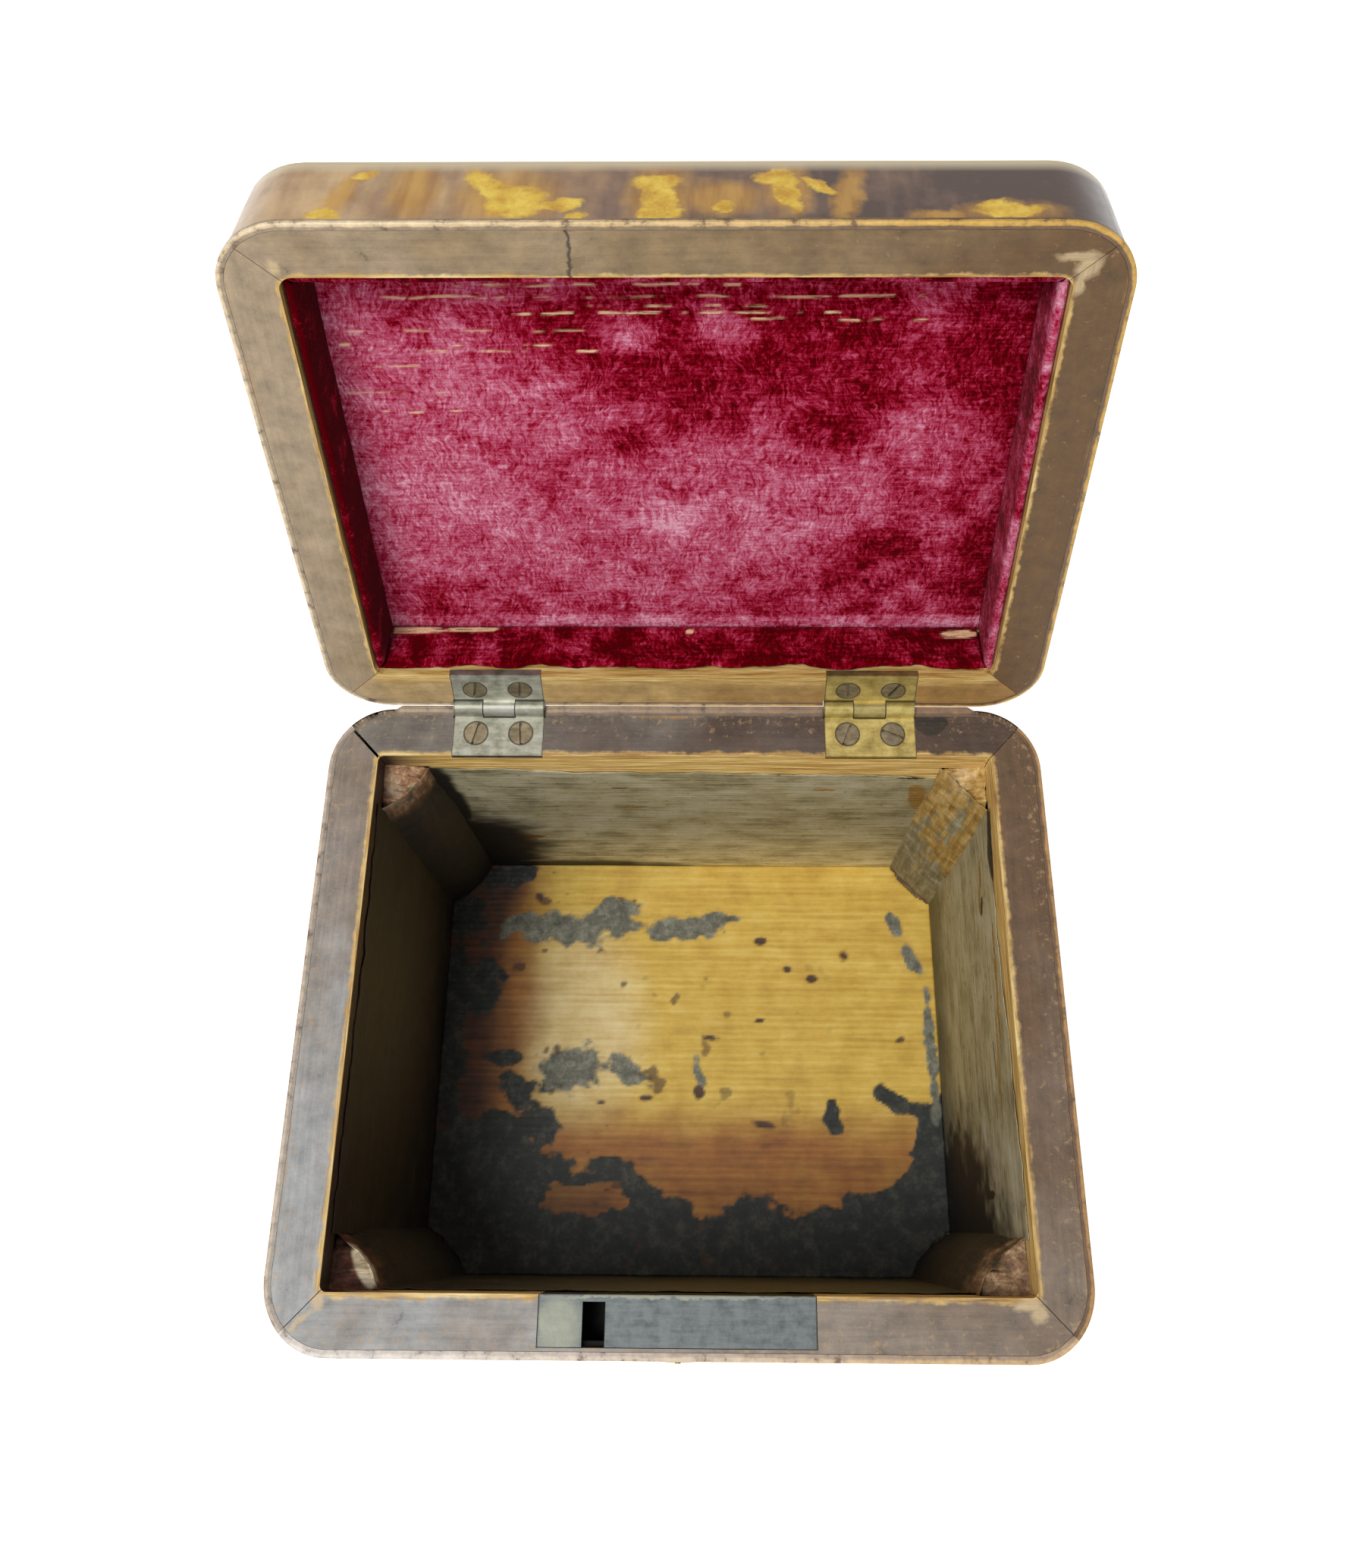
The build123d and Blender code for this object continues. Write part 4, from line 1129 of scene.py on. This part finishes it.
@dataclass
class WallFoil:
    """The foil pasted on one wall between the corner blocks, torn along its upper edge.

    Attributes:
        side: which wall.
        finish: its foil.
        edge: places along the wall and heights of the torn edge there.
        seed: the random field of its tears and wrinkles.
        tears: bare places on it, by place along the wall and height.
        painted_shade_marks: places that are nearly black, as painted shade.
        slits: openings behind the foil, black too.
        fade: darkness at the foot, reaching up to a third of the height.
        block: how far a corner block reaches.
        bottom: height of its lower edge.
    """

    side: str
    finish: Foil
    edge: tuple[tuple[float, ...], tuple[float, ...]]
    seed: int
    tears: Marks = ()
    painted_shade_marks: Marks = ()
    slits: Marks = ()
    fade: float = 0.0
    block: float = 0.0074
    bottom: float = 0.0064

    def build(self) -> None:
        """Hangs a grid on the wall: rows from the floor to the torn edge, moved out by wrinkles."""
        across = self.side in ("front", "back")
        reach, wall = INSIDE if across else INSIDE[::-1]
        reach -= self.block
        along, up = np.meshgrid(np.linspace(-reach, reach, 330 if across else 250), np.linspace(0, 1, 130))
        fine = Unevenness(self.seed, 0.003, 5)
        splinter = Unevenness(self.seed + 2, 0.0022, 4).at(along * 0.5, 0 * along)
        top = np.interp(along, *self.edge) + 0.0011 * fine.at(along, 0 * along) + 0.0009 * splinter
        z = self.bottom + up * (top - self.bottom)
        wrinkle = Unevenness(self.seed + 1, 0.008, 4).at(along * 0.6, z)
        off = 0.00018 + 0.00012 * wrinkle + 0.00015 * smooth((up - 0.96) / 0.04) * (fine.at(along, z) + 0.3)
        depth = wall - np.clip(off, 0.00006, 0.0005)
        depth = -depth if self.side in ("front", "left") else depth
        ragged = fine.at(along * 0.35, z) if across else fine.at(along, z * 0.8)
        torn = patches(self.tears, along, z, 0.5 * ragged, 0.12)
        # Painted shade: nearly black patches where the box's walls shade this foil; the slits are black
        # openings behind it.
        dark = np.maximum(patches(self.painted_shade_marks, along, z, 0.25 * ragged, 0.5, 0.3),
                          patches(self.slits, along, z, 0.3 * ragged, 0.15))
        dark = np.maximum(dark, self.fade * smooth((0.034 - z + 0.004 * ragged) / 0.024))
        points = np.stack([along, depth, z] if across else [depth, along, z], -1)
        sheet = surface(f"foil_sheet_{self.side}", points, {"torn": torn, "dark": dark},
                        flipped=self.side in ("front", "right"))
        thicken(sheet, 0.00005)
        put(sheet, "base", "foil", self.finish, f"foil_{self.side}")


@dataclass
class CornerBlock:
    """A quarter-round glue block in an inside corner, its end rounded over and its foil torn.

    Attributes:
        rear, right: whether it stands at the back and at the right.
        rust, foil: how red-brown it is, and how much foil it keeps.
        dark, cream: how dark it is low down, which is painted shade, and how much broken pale wood shows at
            its top.
        seed: its random field.
        finish: its wood.
        clear: height below which it is dark with painted shade.
        flat: how far its round face is planed off, from 0 to 1.
        split: the outline of the broken pale wood; without it, it falls at random.
    """

    rear: bool
    right: bool
    rust: float
    foil: float
    dark: float
    cream: float
    seed: int
    finish: TornBlock
    clear: float = 0.074
    flat: float = 0.55
    split: Mark | None = None
    half_x: float = 0.05198
    half_y: float = 0.03998
    radius: float = 0.0084
    bottom: float = 0.0060
    top: float = 0.0829

    def build(self) -> None:
        """Stacks outlines between a quarter circle and its chord, which shrink over the broken end."""
        t = np.linspace(0, 1, 170)[:, None]
        angle = np.linspace(0, math.pi / 2, 64)
        z = self.top - np.interp(t, (0, 0.80, 0.86, 1), (self.top - self.bottom, 0.0011, 0.0002, 0))
        shrink = np.interp(t, (0, 0.80, 0.83, 0.86, 1), (1, 1, 0.96, 0.86, 0.03))
        ring_x, ring_y, run = (
            np.append(values, last)[None, :]
            for values, last in ((np.cos(angle), 1e-6), (np.sin(angle), 1e-6), (angle * self.radius, 0.0))
        )
        level = z + 0 * ring_x
        strips = Unevenness(self.seed, 0.0035, 5).at(run, level * 0.18)
        chips = Unevenness(self.seed + 7, 0.0022, 5).at(run * shrink, level * 0.5 + t * 0.01)
        upper = smooth((level - 0.055) / 0.02)
        end = smooth((t - 0.80) / 0.04)
        planed = 1 - self.flat + self.flat / np.maximum(ring_x + ring_y, 1.0)
        rough = 1 - 0.05 * (1 + strips) * (0.3 + 0.7 * upper) - 0.05 * upper * (1 + chips)
        factor = shrink * planed * rough
        x = self.half_x - self.radius * ring_x * factor
        y = self.half_y - self.radius * ring_y * factor
        lean = 0.0009 * shrink * (np.sin(run / self.radius * 2 + self.seed) + 1)
        z_all = level - end * (0.0016 * (1 + chips) ** 2 * shrink + lean)
        points = np.stack([x if self.right else -x, y if self.rear else -y, z_all], -1)
        if self.split is None:
            broken = smooth((chips + 0.7 * np.cos(run / self.radius * 2.5 + self.seed) - 0.35) / 0.2)
            broken = broken * smooth((shrink - 0.25) / 0.2)
        else:
            broken = smooth((self.split.inside(points[..., 0], points[..., 1]) + 0.3 * chips) / 0.3 + 0.5)
        held = self.foil * 2 - 1 + 1.1 * strips + 0.5 * chips + 1.2 * smooth((0.050 - level) / 0.03)
        fields = {
            "rust": np.clip(self.rust + 0.3 * chips, 0, 1) * (1 - 0.6 * end),
            "foil": smooth(held / 0.25 + 0.5) * (1 - end),
            "cream": self.cream * broken * smooth((level - 0.078) / 0.003),
            # Painted shade: the block is nearly black below clear, deep in the box's corner.
            "dark": self.dark * smooth((self.clear - level + 0.006 * strips) / 0.008),
        }
        name = f"{'rear' if self.rear else 'front'}_{'right' if self.right else 'left'}"
        block = surface(f"glue_block_{name}", points, fields, wraps=True, flipped=self.right != self.rear)
        put(block, "base", "block_wood", self.finish, f"corner_block_{name}")


@dataclass
class VelvetLining:
    """Velvet stretched over a thin card in the lid's top, and over four strips round its sides.

    Attributes:
        half_x, half_y: half the panel's width and depth.
        face, back: heights of its two sides on the closed lid.
        roll: how far its edge rolls over.
        rim, strip: height of the strips' free edge, and their thickness.
        worn_rows: bare threads on the panel in mm: each one's y, the x of its ends and how bare it is.
        pale, deep, raised: where the panel's pile lies, where it stands, and tufts that catch the light.
        threads: bare places on the back strip, in x and height.
    """

    fold: LidFold
    half_x: float = 0.0518
    half_y: float = 0.0398
    face: float = 0.09778
    back: float = 0.09910
    roll: float = 0.0013
    rim: float = 0.08865
    strip: float = 0.00155
    worn_rows: tuple[tuple[float, float, float, float], ...] = (
        (-27.4, -26, 26, 0.9), (-28.5, -15, 13, 0.6), (-26.2, 4, 36, 0.7), (-21.9, -50, -17, 0.9),
        (-20.8, -44, -6, 0.7), (-9.3, -45, -32, 0.8), (-32.2, -38, 12, 0.6), (-24.2, -48, -13, 0.4),
        (-13, -50, -34, 0.35), (-18, -48, -33, 0.4), (25, -48, -40, 0.3), (-35, -25, 42, 0.5),
        (-30.2, -42, 35, 0.5),
    )
    pale: Marks = marks(
        (-35, 1, 30, 38), (-8, 16, 34, 22), (-7.6, -24, 7, 5), (6.2, -23.5, 7, 5), (24, 8, 16, 10),
        (40, -3, 10, 12), (7, 8, 19, 15, 30),
    )
    deep: Marks = marks(
        (6, -23, 38, 13), (47, -20, 12, 20), (50, 23, 8, 14), (22, -6, 8, 5), (34, 19, 7, 4, 15)
    )
    raised: Marks = marks((-6.6, -23.5, 6, 4, 20), (5.9, -25.8, 5.5, 4, 50), (-2, 13, 8, 5, 40))
    threads: Marks = marks(
        (-46, 96.8, 5, 0.8), (-37, 97, 3.6, 0.5), (47, 96.2, 3, 1.2), (1, 96.6, 0.9, 0.6)
    )

    def panel(self) -> None:
        """A crushed sheet, level in the middle and rolled back at its edge by a quarter circle."""
        x, y = np.meshgrid(self.half_x * np.linspace(-1, 1, 270), self.half_y * np.linspace(-1, 1, 340))
        inset = np.minimum(self.half_x - np.abs(x), self.half_y - np.abs(y))
        turn = np.clip(1 - inset / self.roll, 0, 1)
        z = self.face + (self.back - self.face) * (1 - np.sqrt(1 - turn**2))
        dent = Unevenness(21, 0.009, 5).at(x, y)
        z = z + 0.00010 * (1 + dent) * (1 - turn)
        crush = 0.55 * Unevenness(22, 0.016, 5).at(x, y) + 0.75 * Unevenness(23, 0.0045, 4).at(x, y)
        pale, deep, raised = (union(several, x, y) for several in (self.pale, self.deep, self.raised))
        # Painted highlight along the fold where the panel meets the back strip, and painted shade as a dark
        # line at the panel's back edge.
        painted_fold_highlight = smooth((0.0022 - np.abs(y - 0.0372) + 0.0006 * dent) / 0.0012)
        tone = (0.46 * crush * (1 - 0.5 * smooth(pale * 1.8)) + 0.18 * smooth(pale * 2.2)
                + 0.30 * smooth((raised + 0.3 * dent) * 1.6)
                - 0.34 * smooth(deep * 1.4 + 0.2) * (0.8 + 1.2 * crush)
                + 0.30 * painted_fold_highlight - 0.35 * smooth((y - 0.0388) / 0.0006))
        ribs = 0 * x
        for row, (*ends, bare) in enumerate(self.worn_rows):
            level, start, stop = (round(end / 1000, 7) for end in ends)
            broken = Unevenness(60 + row, 0.0030, 4).at(x, 0 * x) + 0.05
            off = np.abs(y - level - 0.0004 * Unevenness(80 + row, 0.006, 4).at(x, 0 * x)) / 0.00022
            held = np.minimum(np.minimum(x - start, stop - x) / 0.001, broken / 0.25)
            ribs = np.maximum(ribs, bare * smooth(1.3 - off) * smooth(held))
        points = self.fold.opened(np.stack([x, y, z], -1))
        cloth = surface("velvet_cloth_panel", points, {"crush": tone, "worn": 1.6 * ribs}, flipped=True)
        put(cloth, "lid", "velvet", Velvet("crimson velvet, panel", self.fold), "velvet_panel")

    def band(self, side: str, seed: int, lift: float) -> None:
        """A strip round a card: a rounded section (its free edge a half circle) carried along the wall.

        Args:
            side: which wall of the lid.
            seed: its random field.
            lift: how much paler it is, which is painted shade.
        """
        across = side in ("front", "back")
        reach, wall = (self.half_x, self.half_y) if across else (self.half_y, self.half_x)
        wall += 0.00005
        deep = self.face - 0.00015
        height, bend = deep - self.rim, self.strip / 2
        around = 2 * (height - bend) + math.pi * bend
        path = np.linspace(0, 1, 44)[:, None] * around
        down = np.clip(path, 0, height - bend)
        turn = np.clip((path - (height - bend)) / bend, 0, math.pi)
        up = np.clip(path - (height - bend) - math.pi * bend, 0, None)
        s = np.linspace(-1, 1, 260 if across else 200)
        out = bend * (1 + np.cos(turn)) + 0 * s
        level = deep - down - bend * np.sin(turn) + up + 0 * s
        along = s * (reach - 0.00005 - out)
        bumps = Unevenness(seed, 0.006, 4).at(along, level * 1.5)
        out = out * (1 - 0.10 * (1 + bumps))
        level = level + 0.00022 * (1 + bumps) * smooth((self.rim + 0.002 - level) / 0.002)
        if side == "back":
            frayed = smooth(Unevenness(seed + 3, 0.0110, 5).at(along, 0 * along) + 0.45)
            level = level + 0.0021 * frayed * smooth((self.rim + 0.0045 - level) / 0.0045)
        depth = out - wall if side in ("front", "left") else wall - out
        tone = 0.45 * Unevenness(seed + 1, 0.004, 4).at(along, level)
        # Painted highlight: a paler band along the right strip's free edge.
        tone = tone + 0.25 * smooth((self.rim + 0.0022 - level) / 0.0012) * (side == "right")
        worn = 0 * tone
        if side == "back":
            worn = patches(self.threads, along, level, 0.9 * bumps, 0.2, 0.0) * 1.4
        points = np.stack([along, depth, level] if across else [depth, along, level], -1)
        cloth = surface(f"velvet_cloth_{side}", self.fold.opened(points), {"crush": tone, "worn": worn},
                        flipped=side in ("back", "left"))
        thicken(cloth, 0.0002)
        lay = (0.0, 0.0, 0.0 if across else math.pi / 2)
        finish = Velvet(f"crimson velvet, {side} strip", self.fold, lift, lay)
        put(cloth, "lid", "velvet", finish, f"velvet_{side}")

    def build(self) -> None:
        """Makes the panel and the four strips."""
        self.panel()
        # Painted shade: each strip is made darker by side, the most at the left, which faces away from the
        # light.
        for side, seed, lift in zip(SIDES, (31, 33, 35, 37), (-0.15, -0.30, -0.55, -0.10)):
            self.band(side, seed, lift)


# Studio


@dataclass(frozen=True)
class Lamp:
    """A square soft light: where it hangs, its side and its watts."""

    name: str
    place: tuple[float, float, float]
    size: float
    power: float

    def build(self, aim: Vector) -> None:
        """Hangs the light and turns it to the object."""
        data = bpy.data.lights.new(self.name, "AREA")
        data.size, data.energy = self.size, self.power
        lamp = linked(self.name, data)
        lamp.location = self.place
        lamp.rotation_euler = (aim - Vector(self.place)).to_track_quat("-Z", "Y").to_euler()


@dataclass(frozen=True)
class Studio:
    """A white sweep under soft light, and the camera where the photograph was taken.

    Attributes:
        place: where the camera stands.
        right, down: its directions to the right of the picture and down it.
        focal: its focal length, as a share of the picture's height.
        centre: where its axis meets the picture, as shares of the height from the middle, right and down.
        aim: what the lamps are turned to.
    """

    place: tuple[float, float, float] = (0.00556, -0.03122, 0.32368)
    right: tuple[float, float, float] = (0.99989, 0.00731, -0.0126)
    down: tuple[float, float, float] = (0.0008, -0.89113, -0.45376)
    focal: float = 0.91025
    centre: tuple[float, float] = (0.01037, -0.18085)
    aim: tuple[float, float, float] = (0.0, 0.0, 0.07)
    lamps: tuple[Lamp, ...] = (
        Lamp("overhead softbox", (-0.27, -0.20, 1.00), 0.36, 7.0),
        Lamp("front softbox", (0.10, -1.05, 0.60), 0.8, 4.0),
    )

    def camera(self) -> None:
        """Stands the camera by its axes, its lens and its shift."""
        data = bpy.data.cameras.new("camera")
        data.sensor_width = 36.0
        data.lens = self.focal * data.sensor_width
        data.shift_x, data.shift_y = -self.centre[0], self.centre[1]
        data.clip_start, data.clip_end = 0.01, 20.0
        right, up = Vector(self.right).normalized(), -Vector(self.down).normalized()
        turn = Matrix((right, up, right.cross(up))).transposed().to_4x4()
        camera = linked("camera", data)
        camera.matrix_world = Matrix.Translation(self.place) @ turn
        bpy.context.scene.camera = camera

    def floor(self) -> None:
        """Lays pale paper that keeps the shadow and is lifted to white where it is seen or mirrored."""
        reach = np.linspace(-3.0, 3.0, 9)
        x, y = np.meshgrid(reach, reach)
        paper = surface("floor", np.stack([x, y, 0 * x - 0.0001], -1))
        shader = Shader("white paper sweep")
        grain = shader.add("TexNoise", shader.where, 60.0, 4.0)
        colour = shader.add("ValToRGB", grain, stops=((0.3, "#EFEEEC"), (0.7, "#F4F3F1")))
        lift = shader.add("Math MULTIPLY", shader.seen("Camera", "Glossy", "Transmission"), 0.62)
        look = {"Emission_Color": "#FFFFFF", "Emission_Strength": lift, "Specular_IOR_Level": 0.0}
        paper.data.materials.append(shader.dressed(colour, 0.9, **look))

    def world(self) -> None:
        """Fills the room with soft light, and shows it white where it is seen or mirrored."""
        world = bpy.data.worlds.new("room")
        bpy.context.scene.world = world
        world.use_nodes = True
        nodes = Nodes(world.node_tree)
        level = nodes.add("MapRange", nodes.seen("Camera", "Transmission"), 0.0, 1.0, 0.42, 1.0)
        back = nodes.tree.nodes["Background"]
        nodes.join((back.inputs["Color"], back.inputs["Strength"]), ("#FFFFFF", level))

    def build(self) -> None:
        """Sets the room, the floor, the lights and the camera."""
        self.world()
        self.floor()
        for lamp in self.lamps:
            lamp.build(Vector(self.aim))
        self.camera()
        bpy.context.scene.view_settings.view_transform = "Standard"


def wall_foils() -> tuple[WallFoil, ...]:
    """The four foils: torn at the back and right with painted shade on them, black at the left as painted
    shade, dark at the front.
    """
    # Painted light: the back foil is made up to 1.8 times paler towards its foot.
    back = WallFoil(
        "back", Foil("lead foil, back", foot=1.8),
        ((-0.0446, -0.034, -0.016, 0.003, 0.020, 0.0387, 0.0446),
         (0.0812, 0.0808, 0.0792, 0.0785, 0.0778, 0.0775, 0.0750)), 41,
        tears=marks((-36.5, 31.5, 8, 3.5, 8), (-10, 56, 3, 0.7), (25, 68, 2, 0.6), (42.5, 64, 1.4, 9, 8)),
        painted_shade_marks=marks((-49, 20, 22, 38), (-30, 6, 30, 7), (-44, 60, 3, 27)),
        slits=marks((40.5, 76.2, 3, 0.5, 4), (-12, 69, 1.6, 0.3)),
    )
    right = WallFoil(
        "right", Foil("lead foil, right", grain=Grain.ALONG_Y),
        ((-0.0315, -0.0141, 0.0001, 0.0141, 0.0315), (0.0856, 0.0848, 0.0828, 0.0812, 0.0835)), 51,
        tears=marks((5, 77, 10, 1.2, 4), (-8, 73, 8, 0.8, 6), (23, 69, 5, 1, 30)),
        painted_shade_marks=marks((-36, 12, 27, 60)),
        slits=marks((26.2, 82.4, 6.2, 3.2), (19, 69, 2, 1, 40), (-6, 70, 3, 0.4), (-26, 56, 0.8, 4)),
        fade=0.74,
    )
    # Painted shade: the left foil is coloured nearly black, as that wall faces away from the light.
    black = Foil("lead foil, left", None, "#221B15", "#120E0B", "#3F3830", grain=Grain.ALONG_Y)
    dark = Foil("lead foil, front", None, "#3F3C30", "#1E1D17", "#5E5B4B")
    left = WallFoil("left", black, ((-0.0315, 0.0, 0.0315), (0.0845, 0.0838, 0.0850)), 61)
    front = WallFoil("front", dark, ((-0.0435, 0.0, 0.0435), (0.0790, 0.0800, 0.0785)), 71)
    return back, right, left, front


def corner_blocks() -> tuple[CornerBlock, ...]:
    """The four blocks: very dark brown with a pale leaf, plain, tan and ochre, all but the ochre one nearly
    black low down with painted shade.
    """
    darkest_brown = TornBlock("torn softwood, front left", None, ("#24110C", "#54301F", "#83583F"))
    plain = TornBlock("torn softwood, front right")
    tan = TornBlock("torn softwood, rear left", None, ("#553722", "#997352", "#CBAB84"))
    ochre = TornBlock(
        "torn softwood, rear right", None,
        ("#7A5826", "#B48F4A", "#D6BC80"), ("#6B6349", "#948A69", "#B8B29A"),
    )
    leaf, = marks((-47.5, -36.6, 1.3, 3.7, 33))
    return (
        CornerBlock(False, False, 0.8, 0.3, 0.95, 0.85, 81, darkest_brown, 0.0795, split=leaf),
        CornerBlock(False, True, 0.2, 0.45, 0.9, 0.5, 83, plain, 0.0750),
        CornerBlock(True, False, 0.4, 0.4, 0.95, 0.2, 85, tan, 0.0790),
        CornerBlock(True, True, 0.0, 0.25, 0.0, 0.2, 87, ochre, flat=0.9),
    )


def main() -> None:
    """Builds the box's classes in order."""
    logging.basicConfig(level=logging.INFO, format="%(message)s")
    hinge = next(joint for joint in frame["joints"] if joint["name"] == "lid_hinge")
    fold = LidFold(tuple(hinge["pos_m"]), math.radians(hinge["range_deg"][1]))
    Studio().build()
    Carcass(fold).dress()
    BackEdging(fold).build()
    Fittings(fold).dress()
    for piece in (FloorSheet(), *wall_foils(), *corner_blocks(), VelvetLining(fold)):
        piece.build()


if __name__ == "__main__":
    main()
